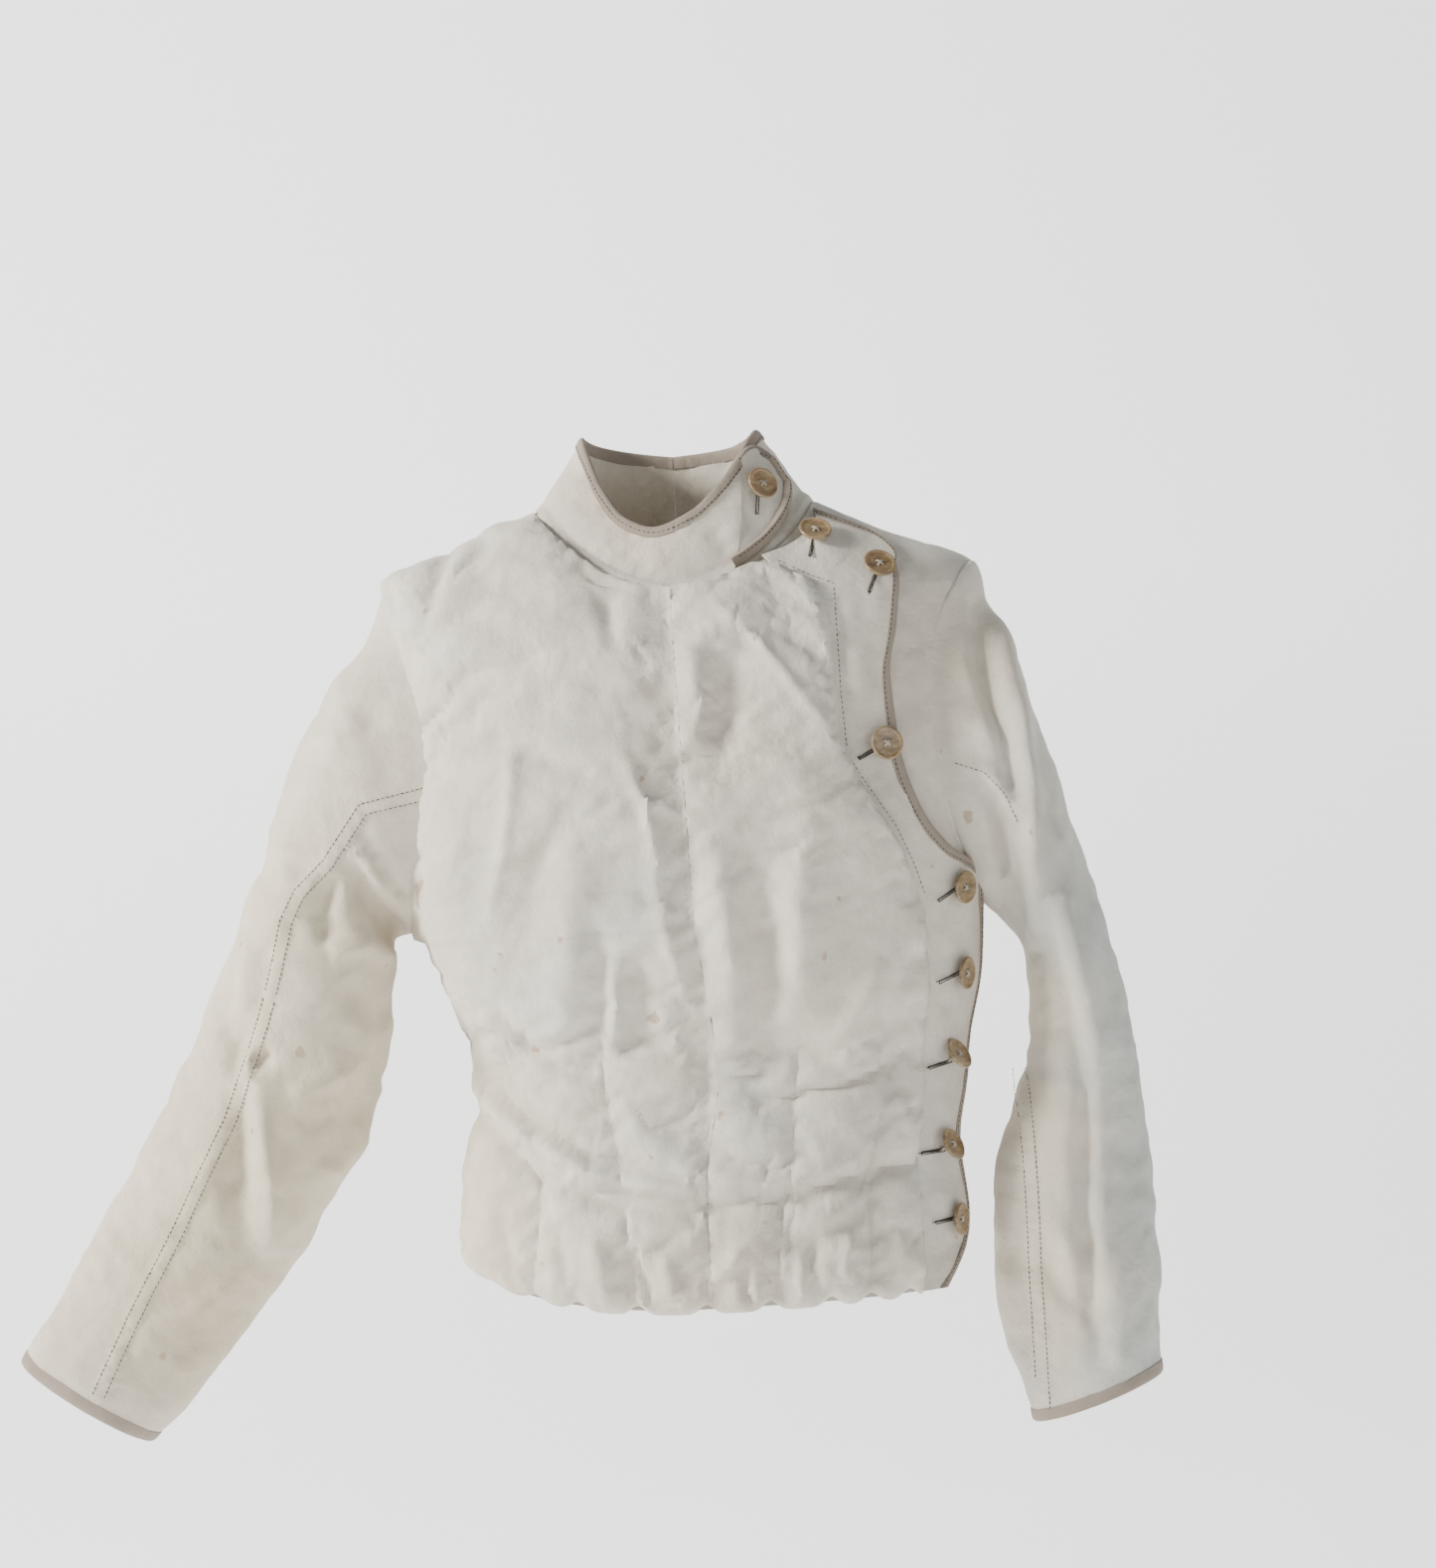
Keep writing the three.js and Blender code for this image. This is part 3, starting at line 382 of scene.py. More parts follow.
# %% [markdown]
# ## Finishes
# Cotton drill is a diagonal twill. Its base colour is a cream that has yellowed in places, so noise at two
# scales mixes a warmer and a greyer cream, and a few small rusty specks sit on top. The weave is far finer
# than the mesh, so it is a bump from two wave textures on the UV map. Sheen, which is the soft glow of
# standing fibres, is the same everywhere and is set on the shader's own socket.

# %% Node helpers
def new_material(name):
    material = bpy.data.materials.new(name)
    material.use_nodes = True
    tree = material.node_tree
    tree.nodes.clear()
    shader = tree.nodes.new("ShaderNodeBsdfPrincipled")
    out = tree.nodes.new("ShaderNodeOutputMaterial")
    tree.links.new(shader.outputs["BSDF"], out.inputs["Surface"])
    return material, tree, shader


def node(tree, kind, **settings):
    made = tree.nodes.new(kind)
    for key, value in settings.items():
        if key[0].isupper() or " " in key:
            made.inputs[key].default_value = value
        else:
            setattr(made, key, value)
    return made


def noise(tree, source, scale, detail=3.0, rough=0.55):
    made = node(tree, "ShaderNodeTexNoise", Scale=scale, Detail=detail, Roughness=rough)
    tree.links.new(source, made.inputs["Vector"])
    return made.outputs["Fac"]


def ramp(tree, source, *stops):
    made = tree.nodes.new("ShaderNodeValToRGB")
    elements = made.color_ramp.elements
    while len(elements) < len(stops):
        elements.new(0.5)
    for element, (place, colour) in zip(elements, stops):
        element.position = place
        element.color = (*colour, 1) if len(colour) == 3 else colour
    tree.links.new(source, made.inputs["Fac"])
    return made.outputs["Color"]


def mix(tree, kind, factor, a, b):
    made = tree.nodes.new("ShaderNodeMix")
    made.data_type, made.blend_type = "RGBA", kind
    for socket, value in ((made.inputs["Factor"], factor), (made.inputs[6], a), (made.inputs[7], b)):
        if isinstance(value, bpy.types.NodeSocket):
            tree.links.new(value, socket)
        elif isinstance(value, tuple):
            socket.default_value = (*value, 1)
        else:
            socket.default_value = value
    return made.outputs[2]


def grey(value):
    return (value, value, value)


def maths(tree, operation, a, b):
    made = node(tree, "ShaderNodeMath", operation=operation)
    for socket, value in zip(made.inputs, (a, b)):
        if isinstance(value, bpy.types.NodeSocket):
            tree.links.new(value, socket)
        else:
            socket.default_value = value
    return made.outputs[0]


def bump(tree, height, distance, strength, below=None):
    made = node(tree, "ShaderNodeBump", Distance=distance, Strength=strength)
    tree.links.new(height, made.inputs["Height"])
    if below is not None:
        tree.links.new(below, made.inputs["Normal"])
    return made.outputs["Normal"]


# %% Cotton, tape, thread and horn
def cotton(name, clean, worn, yarn=0.00055, crumple=1.0, specks=True, twill=True, sheen=0.25):
    material, tree, shader = new_material(name)
    place = tree.nodes.new("ShaderNodeTexCoord")
    tone = node(tree, "ShaderNodeAttribute", attribute_name="tone")
    patches = ramp(tree, noise(tree, place.outputs["Object"], 9, 4), (0.35, clean), (0.7, worn))
    fine = ramp(tree, noise(tree, place.outputs["Object"], 70, 4), (0.3, grey(0.93)), (0.7, grey(1.04)))
    colour = mix(tree, "MULTIPLY", 1.0, patches, fine)
    # The point colour "tone" multiplies in a stain and also painted light and painted shade.
    colour = mix(tree, "MULTIPLY", 1.0, colour, tone.outputs["Color"])
    turn = node(tree, "ShaderNodeMapping")
    turn.inputs["Rotation"].default_value = (0, 0, math.radians(58 if twill else 0))
    tree.links.new(place.outputs["UV"], turn.inputs["Vector"])
    wale = node(tree, "ShaderNodeTexWave", Scale=0.1 / yarn * math.pi, Distortion=0.6, Detail=1.0)
    wale.inputs["Detail Scale"].default_value = 2.0
    tree.links.new(turn.outputs["Vector"], wale.inputs["Vector"])
    weft = node(tree, "ShaderNodeTexWave", bands_direction="Y", Scale=0.16 / yarn * math.pi, Distortion=0.8)
    tree.links.new(place.outputs["UV"], weft.inputs["Vector"])
    threads = maths(tree, "ADD", wale.outputs["Fac"], maths(tree, "MULTIPLY", weft.outputs["Fac"], 0.5))
    colour = mix(tree, "MULTIPLY", 0.35, colour, ramp(tree, threads, (0.0, grey(0.72)), (0.9, grey(1.0))))
    if specks:
        rust = ramp(tree, noise(tree, place.outputs["Object"], 55, 2, 0.4), (0.735, grey(0.0)), (0.77, grey(1.0)))
        colour = mix(tree, "MIX", mix(tree, "MULTIPLY", 1.0, rust, grey(0.55)), colour, (0.33, 0.2, 0.1))
    tree.links.new(colour, shader.inputs["Base Color"])
    soft = noise(tree, place.outputs["Object"], 75, 5, 0.6)
    small = noise(tree, place.outputs["Object"], 260, 4, 0.65)
    normal = bump(tree, soft, 0.0035 * crumple, 0.55)
    normal = bump(tree, small, 0.0008 * crumple, 0.5, normal)
    normal = bump(tree, threads, 0.00022, 0.5, normal)
    tree.links.new(normal, shader.inputs["Normal"])
    tree.links.new(ramp(tree, soft, (0.3, grey(0.82)), (0.7, grey(0.96))), shader.inputs["Roughness"])
    shader.inputs["Sheen Weight"].default_value = sheen
    shader.inputs["Sheen Roughness"].default_value = 0.5
    shader.inputs["Specular IOR Level"].default_value = 0.2
    return material


drill = cotton("cotton_drill", (0.68, 0.635, 0.55), (0.61, 0.555, 0.455))
lining = cotton("cotton_lining", (0.5, 0.47, 0.42), (0.45, 0.42, 0.36), 0.0004, 0.8, False, False)
tape = cotton("binding_tape", (0.335, 0.28, 0.225), (0.25, 0.205, 0.16), 0.0007, 0.5, False, False, 0.1)
thread = cotton("sewing_thread", (0.50, 0.45, 0.37), (0.40, 0.35, 0.28), 0.0003, 0.1, False, False, 0.1)
dark_thread = cotton("buttonhole_thread", (0.36, 0.32, 0.27), (0.28, 0.24, 0.2), 0.0003, 0.1, False, False, 0.1)


def horn_material():
    material, tree, shader = new_material("tan_horn")
    place = tree.nodes.new("ShaderNodeTexCoord")
    stretch = node(tree, "ShaderNodeMapping", Scale=(1.0, 1.0, 2.6))
    tree.links.new(place.outputs["Object"], stretch.inputs["Vector"])
    streak = noise(tree, stretch.outputs["Vector"], 130, 5, 0.6)
    cloud = noise(tree, place.outputs["Object"], 45, 2)
    colour = ramp(tree, streak, (0.3, (0.13, 0.088, 0.042)), (0.5, (0.24, 0.168, 0.082)), (0.72, (0.38, 0.285, 0.155)))
    colour = mix(tree, "MULTIPLY", 0.6, colour, ramp(tree, cloud, (0.3, grey(0.7)), (0.7, grey(1.1))))
    tree.links.new(colour, shader.inputs["Base Color"])
    scratch = noise(tree, place.outputs["Object"], 900, 3)
    tree.links.new(ramp(tree, scratch, (0.3, grey(0.26)), (0.75, grey(0.45))), shader.inputs["Roughness"])
    tree.links.new(bump(tree, scratch, 0.0001, 0.3), shader.inputs["Normal"])
    shader.inputs["Coat Weight"].default_value = 0.25
    shader.inputs["Coat Roughness"].default_value = 0.25
    shader.inputs["Subsurface Weight"].default_value = 0.05
    return material


horn = horn_material()
print("finishes:", [m.name for m in bpy.data.materials if m.users or m.use_nodes][:8])

# %% [markdown]
# ## Colour, painted light and painted shade over the jacket
# Old cotton is never one colour: the chest is a cooler white, and the collar has a peach stain beside its edge.
# The same spots also paint light and shade: warm painted light and tan painted shade down the wearer's right
# side and sleeve, painted shade in its armpit, blue-grey painted shade on the outer side of the wearer's left
# sleeve and warm painted light on its front face. Each is a soft spot with a place across and up, a reach and
# a colour factor. They are stored per point.

# %% Tones
TONE_AND_PAINTED_LIGHT_SPOTS = [
    # Painted light and shade on the wearer's right side, the left of the view: warm painted light on the lower front,
    # the shoulder and the sleeve, and tan to brown painted shade in the armpit and down the sleeve.
    ((-165, -480), 45, (1.10, 1.02, 0.86)), ((-225, -150), 60, (1.05, 1.0, 0.92)),
    ((-300, -300), 80, (1.07, 1.0, 0.86)), ((-260, -420), 70, (0.98, 0.90, 0.74)),
    ((-225, -300), 32, (0.84, 0.77, 0.66)), ((-345, -420), 45, (1.08, 1.03, 0.92)),
    ((-320, -560), 60, (0.84, 0.74, 0.58)),
    # The right sleeve's last painted shade, then small colour changes over the chest and the middle of the hem.
    ((-380, -480), 90, (0.98, 0.90, 0.74)), ((-60, -140), 80, (1.0, 0.98, 0.98)),
    ((40, -160), 60, (1.02, 0.99, 0.95)), ((70, -300), 70, (1.03, 1.0, 0.95)), ((-80, -250), 70, (0.99, 1.0, 1.0)),
    ((60, -450), 80, (1.04, 1.05, 1.05)), ((-80, -450), 60, (1.02, 1.03, 1.02)), ((0, -545), 70, (0.98, 0.95, 0.89)),
    # The end of the hem, a warmer patch by the left armhole, then blue-grey painted shade down the outer side of the
    # wearer's left sleeve.
    ((-90, -545), 60, (0.98, 0.95, 0.88)), ((175, -120), 40, (1.05, 1.0, 0.90)), ((290, -300), 45, (0.76, 0.85, 0.94)),
    ((302, -400), 40, (0.74, 0.84, 0.94)), ((300, -500), 42, (0.74, 0.84, 0.94)), ((296, -600), 40, (0.78, 0.87, 0.95)),
    # Grey painted shade in the fold by the left armhole, and warm painted light on the left sleeve's front face.
    ((262, -180), 26, (0.86, 0.88, 0.86)), ((235, -560), 32, (1.08, 1.01, 0.88)), ((234, -450), 26, (1.08, 1.01, 0.88)),
    ((215, -520), 40, (1.06, 1.02, 0.95)), ((230, -360), 25, (1.08, 1.02, 0.90)),
    ((-150, -60), 60, (0.99, 0.99, 0.98)), ((-30, 10), 40, (1.03, 0.99, 0.92)),
]


def toned(points, extra=()):
    """Colour factors at places across and up, a soft mean of the spots near them."""
    flat = points[..., [0, 2]]
    total, weight = np.ones(flat.shape[:-1] + (3,)) * 0.6, np.full(flat.shape[:-1] + (1,), 0.6)
    for centre, reach, colour in [*TONE_AND_PAINTED_LIGHT_SPOTS, *extra]:
        w = 1.8 * np.exp(-(np.linalg.norm(flat - np.array(centre, float), axis=-1) / reach) ** 2)[..., None]
        total, weight = total + w * np.array(colour), weight + w
    return total / weight * (1 + 0.035 * rumple(points, 38, 5))[..., None]


print("tone spots:", len(TONE_AND_PAINTED_LIGHT_SPOTS))

# %% [markdown]
# ## The padded fronts
# Two quilted pieces meet at the centre-front seam. The wearer's right front stays with the body. The other
# one, the overlap, is the flap that opens. Each is a closed pad: its outer face swells between the stitched
# lines and dips at the four waist darts, the centre seam and its edges, and rounds over at the puffy hem.

# %% Lines on the fronts
CENTRE_SEAM = [(-11, -67), (-7, -119), (-9, -173), (-8, -221), (-6, -269), (-4, -323),
               (1, -364), (-2, -439), (-9, -560)]
DARTS = [
    [(-137, -360), (-131, -398), (-118, -426), (-115, -467), (-124, -535)],
    [(-70, -348), (-68, -395), (-62, -449), (-59, -490), (-55, -555)],
    [(65, -355), (58, -409), (53, -456), (44, -496), (34, -562)],
    [(130, -365), (123, -399), (110, -439), (104, -479), (102, -562)],
]
FRONT_FOLDS = [
    ([(-157, -120), (-141, -112), (-114, -107), (-94, -100)], 6.2, -3),
    ([(-175, -102), (-147, -90), (-99, -79), (-57, -68)], 11.5, 2.5),
    ([(-174, -92), (-156, -75), (-125, -63), (-84, -60)], 9.7, -3),
    ([(-178, -142), (-159, -132)], 4.4, -3),
    ([(-164, -147), (-136, -144)], 5.3, -2),
    ([(-161, -156), (-117, -161), (-90, -175), (-64, -187)], 7.1, -2.5),
    ([(-115, -150), (-116, -187), (-124, -228), (-137, -282)], 5.3, 2),
    ([(-132, -193), (-141, -227), (-144, -261)], 10.6, -1.5),
    ([(-89, -216), (-105, -249), (-118, -296)], 12.4, -3),
    ([(-77, -231), (-85, -298), (-96, -359)], 12.4, 3),
    ([(-64, -286), (-68, -333), (-71, -360)], 8, -4),
    ([(-43, -301), (-42, -342), (-48, -375)], 12.4, -4.5),
    ([(-54, -307), (-61, -374)], 6.2, 2),
    ([(-49, -161), (-37, -189), (-28, -210), (-24, -268), (-19, -302), (-9, -337), (0, -352)], 5.3, 2.5),
    ([(-31, -205), (3, -215)], 4.4, 2),
    ([(6, -92), (9, -133), (4, -174)], 13.3, 4),
    ([(33, -107), (21, -161), (17, -195)], 15, -4.5),
    ([(46, -238), (42, -305), (36, -366), (36, -416)], 16.8, -7),
    ([(74, -198), (69, -273), (64, -331), (62, -361)], 12.4, 3),
    ([(6, -229), (18, -270), (24, -332), (25, -393)], 10.6, 3),
    ([(127, -392), (94, -403), (66, -408), (29, -414)], 5.3, -3),
    ([(119, -317), (96, -363), (86, -390)], 9.7, 3),
    ([(145, -311), (128, -338), (108, -377)], 8, -2.5),
    ([(134, -358), (112, -379)], 6.2, -2),
    ([(-192, -261), (-186, -292), (-174, -327), (-156, -362), (-131, -405), (-105, -426), (-75, -435)], 8.8, -4.5),
    ([(-180, -317), (-163, -369), (-145, -404), (-119, -432), (-79, -454), (-12, -471)], 8, 3),
    ([(-165, -386), (-152, -417), (-133, -438), (-107, -457), (-80, -469), (-47, -477), (-13, -483), (28, -482),
      (76, -478)], 8, -4.5),
    ([(-105, -426), (-79, -444), (-45, -452), (-18, -459)], 5.3, -2.5),
    ([(56, -473), (97, -469), (142, -458)], 7.1, -3),
    ([(-12, -459), (49, -465), (98, -455)], 7.1, 2.5),
    ([(-140, -329), (-115, -365), (-95, -379), (-72, -387)], 6.2, -3.5),
    ([(-144, -337), (-121, -356)], 7.1, 3),
    ([(14, -508), (10, -520), (-4, -526)], 4.4, 3),
    ([(16, -519), (18, -536), (24, -551)], 4.4, -3),
    ([(19, -73), (50, -102), (75, -137), (95, -167)], 4.4, 1.5),
    ([(-49, -65), (-47, -89), (-44, -104)], 7.1, -3),
    ([(57, -95), (84, -104), (97, -119)], 6.2, -2),
    ([(10, -93), (37, -84), (71, -96)], 8, 2),
    ([(-153, -15), (-165, -55), (-175, -85)], 7.1, -2),
    ([(-128, -20), (-139, -50)], 7.1, -2),
    ([(-180, -191), (-188, -224), (-192, -261)], 5.3, 2),
    ([(-55, -504), (-49, -525), (-47, -546)], 4.4, -2),
    ([(-35, -509), (-30, -540)], 5.3, 2),
    ([(68, -505), (63, -525), (66, -552)], 5.3, -2),
    ([(88, -502), (89, -547)], 7.1, 2.5),
    ([(116, -500), (110, -541)], 5.3, -2),
    ([(-142, -479), (-137, -517)], 5.3, -2),
    ([(-105, -488), (-97, -529)], 6.2, -2.5),
    ([(-82, -496), (-74, -537)], 6.2, 2.5),
]
HEM_NOTCHES = [-152, -124, -95, -55, -9, 34, 75, 102, 128]


def quilting(p):
    """How far padded cloth stands out from its mean, from its seams, darts, folds and crumples."""
    flat = p[..., [0, 2]]
    lift = folds(flat, FRONT_FOLDS, 1.7)
    seam, _ = line_distance(flat, CENTRE_SEAM)
    lift -= 2.2 * np.exp(-seam / 2.2) + 2.6 * np.exp(-(seam / 15) ** 2)
    for dart in DARTS:
        gap, share = line_distance(flat, dart)
        deep = smooth_step(share, 0.0, 0.12)
        lift -= deep * (2.4 * np.exp(-gap / 1.8) + 2.8 * np.exp(-(gap / 14) ** 2))
    lift += 2.6 * rumple(turned(p, 20), (70, 60, 45), 1) + 1.9 * rumple(turned(p, -35), (34, 30, 20), 2)
    lift += 1.3 * rumple(turned(p, 25), (20, 20, 9), 3) + 0.4 * rumple(p, 7, 4)
    above_hem = np.clip(p[..., 2] + 555, 0, None)
    lift += np.exp(-(above_hem / 42) ** 2) * (2.0 * rumple(p, (9, 30, 60), 6) + 1.2 * rumple(p, (5, 20, 26), 7))
    lift += 1.0 * np.exp(-seam / 12) * rumple(p, (22, 20, 6.5), 8)
    return lift


def hem_lift(x, z):
    """The gathered hem is drawn up at its seams: how far a place near it moves up."""
    rise = sum(np.exp(-((x - notch) / 6.5) ** 2) for notch in HEM_NOTCHES)
    return (6.5 * rise - 3.0) * smooth_step(-z, 515, 552)


# %% [markdown]
# ## Let the padding swell
# Written folds say where the cloth creases, but stuffed cloth also pushes back. Each pad's outer face is let
# loose as cloth for a few frames with air pressure behind it and no gravity, and with its seams, darts and
# rim held. The cloth is cut a little large, so it buckles into small puckers as real quilting does. No point
# may move more than a few millimetres, so the pad still fits its neighbours.

# %% Settle a pad as cloth
SWELL_CAP, SWELL_FRAMES = 3.2, 12  # the most a point may move, in millimetres, and how long the cloth is let loose
SWELL_PRESSURE, CLOTH_EXCESS = 4, 0.035  # air pressure, and the share by which the cloth is cut too large
SEAM_REACH, DART_REACH = 4, 3.5  # how far the hold of a seam and of a dart reaches


def settled(grid, base, rim):
    """A pad's outer grid after it has swelled between its held lines."""
    rows, columns = grid.shape[:2]
    i = np.arange(rows * columns).reshape(rows, columns)
    faces = np.stack([q.ravel() for q in (i[:-1, :-1], i[:-1, 1:], i[1:, 1:], i[1:, :-1])], -1)
    start = to_frame(grid).reshape(-1, 3)
    out = np.cross(start[faces[:, 1]] - start[faces[:, 0]], start[faces[:, 3]] - start[faces[:, 0]])
    if (out * from_middle(base[:-1, :-1]).reshape(-1, 3)).sum() < 0:
        faces = faces[:, ::-1]
    mesh = bpy.data.meshes.new("loose_cloth")
    mesh.from_pydata(start.tolist(), [], faces.tolist())
    sheet = bpy.data.objects.new("loose_cloth", mesh)
    bpy.context.scene.collection.objects.link(sheet)
    flat = base[..., [0, 2]]
    hold = np.exp(-(line_distance(flat, CENTRE_SEAM)[0] / SEAM_REACH) ** 2)
    for dart in DARTS:
        hold = np.maximum(hold, np.exp(-(line_distance(flat, dart)[0] / DART_REACH) ** 2))
    hold = np.maximum(hold, 1 - smooth_step(rim, 0.5, 0.95))
    held = sheet.vertex_groups.new(name="seams")
    levels = np.round(hold.ravel() * 10) / 10
    for level in np.unique(levels):
        held.add(np.flatnonzero(levels == level).tolist(), float(level), "REPLACE")
    cloth = sheet.modifiers.new("swell", "CLOTH")
    cloth.settings.quality = 5
    cloth.settings.mass = 0.3
    cloth.settings.tension_stiffness = cloth.settings.compression_stiffness = 20
    cloth.settings.bending_stiffness = 0.4
    cloth.settings.vertex_group_mass = "seams"
    cloth.settings.use_pressure = True
    cloth.settings.uniform_pressure_force = SWELL_PRESSURE
    cloth.settings.shrink_min = -CLOTH_EXCESS
    cloth.settings.effector_weights.gravity = 0
    cloth.collision_settings.use_collision = False
    cloth.point_cache.frame_start, cloth.point_cache.frame_end = 1, SWELL_FRAMES
    for frame_number in range(1, SWELL_FRAMES + 1):
        bpy.context.scene.frame_set(frame_number)
    loose = sheet.evaluated_get(bpy.context.evaluated_depsgraph_get())
    moved = np.zeros(len(start) * 3, np.float32)
    loose.data.vertices.foreach_get("co", moved)
    step = (moved.reshape(-1, 3) - start) * 1000
    far = np.linalg.norm(step, axis=1, keepdims=True)
    kept = SWELL_CAP * np.tanh(far / SWELL_CAP)
    step *= kept / np.maximum(far, 1e-9)
    bpy.data.objects.remove(sheet)
    bpy.context.scene.frame_set(1)
    print("swelled: raw mean %.2f, most %.2f mm; kept mean %.2f, most %.2f mm" % (
        far.mean(), far.max(), kept.mean(), kept.max()))
    return grid + step.reshape(grid.shape)


# %% The wearer's right front
INSIDE, FULL = 3.2, 10.8  # offsets of a pad's inner and outer face from the dummy


def level_rows(top, bottom, step):
    return np.linspace(top, bottom, int(abs(top - bottom) / step) + 1)


def right_front_places(columns, step):
    upper = np.concatenate([level_rows(-1.5, -60, step * 0.6), level_rows(-60, -395, step)[1:]])
    start = neck_angle(upper, 176, 90.97)
    end = armhole_angle(upper, 179.9, 90, -1, 166.75)
    share = np.linspace(0, 1, columns)
    # Most columns stop short of the side, so that the edge's jump at the armpit doesn't shear the chest.
    inner = np.minimum(start + 0.88 * (end - start), 157.6)[:, None]
    angles = np.where(share < 0.88, start[:, None] + (inner - start[:, None]) * share / 0.88,
                      inner + (end[:, None] - inner) * (share - 0.88) / 0.12)
    heights = np.repeat(upper[:, None], columns, 1)
    down = np.linspace(0, 1, int(150 / step))[1:, None]
    skirt = 90.97 + (166.75 - 90.97) * share[None, :]
    low_edge = hem_z(skirt)
    return (np.concatenate([angles, np.repeat(skirt, len(down), 0)]),
            np.concatenate([heights, -395 + (low_edge + 395) * down]))


def pad_grids(angles, heights, edge_fade, open_up=1.0):
    """A pad's two faces. Where open_up falls to 0, at a sewn shoulder, the inner face closes down onto the back."""
    base = body_point(angles, heights)
    normal = surface_normals(body_point, angles, heights, from_axis)
    lift = quilting(base)
    outer = base + normal * (INSIDE + (FULL - INSIDE + lift) * edge_fade)[..., None]
    wave = 0.5 * rumple(base, 30, 9)
    inner = base + normal * (-1.6 + (INSIDE + 0.7 + wave) * open_up)[..., None]
    for grid in (outer, inner):
        grid[..., 2] += hem_lift(base[..., 0], base[..., 2])
    return outer, inner, base, normal


angles, heights = right_front_places(92, 3.0)
base = body_point(angles, heights)
side_gap = np.linalg.norm(base - base[:, -1:], axis=-1)
side_radius = np.interp(-heights, [0, 60, 160, 295, 305], [36, 32, 14, 9, 3])
neck_gap = np.where(heights > -62, np.linalg.norm(base - base[:, :1], axis=-1), 99.0)
hem_gap = np.clip(heights - heights[-1:], 0, None)
fade = (0.16 + 0.84 * rounded(side_gap, side_radius)) * (0.3 + 0.7 * rounded(neck_gap, 7)) * rounded(hem_gap + 0.2, 15)
fade *= 0.45 + 0.55 * smooth_step(-heights, 1.5, 14)
shoulder_gap = np.minimum(np.where(heights > -66, side_gap, 99.0), -heights * 0.9)
right_outer, right_inner, base, _ = pad_grids(angles, heights, fade, smooth_step(shoulder_gap, 1.0, 12.0))
right_outer = settled(right_outer, base, fade)
right_front = cloth_solid("right_front_pad", right_outer, right_inner, toned(right_outer))
print("right front:", len(right_front.data.polygons), "faces, cut %.2f x %.2f m" % (
    right_front["width"], right_front["length"]))

# %% [markdown]
# ## The closing band
# The overlap's padding stops at a wavy ridge. Past it lies a flat, unpadded band with the buttonholes, and
# tape binds its edge. One table gives matching places on both edges of the band from the neckline over the
# shoulder, round the chest and down to the hem, so the pad, band and tape share their edges.

# %% Places along the band
BAND = np.array([
    [0.331, 0.80, 0.810, 0.19], [0.360, 1.01, 0.830, 0.33], [0.427, 1.05, 0.848, 0.48], [0.464, 1.12, 0.776, 0.76],
    [0.477, 1.22, 0.714, 1.04], [0.482, 1.32, 0.690, 1.19], [0.483, 1.45, 0.659, 1.33], [0.527, 1.60, 0.676, 1.54],
    [0.618, 1.75, 0.745, 1.73], [0.709, 1.90, 0.841, 1.84], [0.768, 2.07, 0.970, 1.94], [0.788, 2.47, 0.993, 2.32],
    [0.800, 2.91, 0.993, 2.85], [0.803, 3.29, 0.974, 3.29], [0.799, 3.68, 0.993, 3.68], [0.794, 4.00, 0.896, 4.00],
])
LANDMARKS = np.array([0.0, -50.0, -282.0, -395.0, -550.0])


def front_angle(share):
    return np.degrees(np.arccos(share ** (POWER / 2)))


def height_at(level):
    return np.interp(level, [0, 1, 2, 3, 4], LANDMARKS)


BAND_EDGES = curve_through(np.column_stack([
    np.arange(len(BAND)) / (len(BAND) - 1), front_angle(BAND[:, 0]), BAND[:, 1], front_angle(BAND[:, 2]), BAND[:, 3]]))


def band_point(along, across):
    along, across = np.broadcast_arrays(np.asarray(along, float), np.asarray(across, float))
    e = BAND_EDGES(along)
    angle = e[..., 0] + (e[..., 2] - e[..., 0]) * across
    low, high = height_at(e[..., 1]), height_at(e[..., 3])
    return body_point(angle, low + (high - low) * across)


def overlap_places(rows, columns):
    along = np.linspace(1 / 15, 1, rows)
    e = BAND_EDGES(along)
    z = height_at(e[..., 1])
    start = np.where(z >= -62.4, np.maximum(neck_angle(z, 40, 90.93), e[..., 0]), 90.93)
    share = np.linspace(0, 1, columns)
    return start[:, None] + (e[..., 0] - start)[:, None] * share, np.repeat(z[:, None], columns, 1)


# %% The overlap's pad
angles, heights = overlap_places(190, 70)
base = body_point(angles, heights)
outer_gap = np.linalg.norm(base - base[:, -1:], axis=-1)
neck_gap = np.where(heights > -62, np.linalg.norm(base - base[:, :1], axis=-1), 99.0)
hem_gap = np.clip(heights + 550, 0, None)
roll = np.where(heights < -180, 8.0, 13.0)
edge = 0.18 + 0.82 * rounded(outer_gap, roll)
fade = edge * (0.3 + 0.7 * rounded(neck_gap, 7)) * rounded(hem_gap + 0.2, 15)
overlap_outer, overlap_inner, base, _ = pad_grids(angles, heights, fade)
overlap_outer = settled(overlap_outer, base, fade)
overlap = cloth_solid("overlap_front_pad", overlap_outer, overlap_inner, toned(overlap_outer))
print("overlap:", len(overlap.data.polygons), "faces")

# %% The buttonhole band
BAND_FROM, BAND_TO = 2.6, 4.6


def strip_places(rows, columns, low, high):
    along = np.repeat(np.linspace(0, 1, rows)[:, None], columns, 1)
    share = np.linspace(0, 1, columns)[None, :]
    low, high = np.broadcast_to(low, (rows,))[:, None], np.broadcast_to(high, (rows,))[:, None]
    return along, low + (high - low) * share


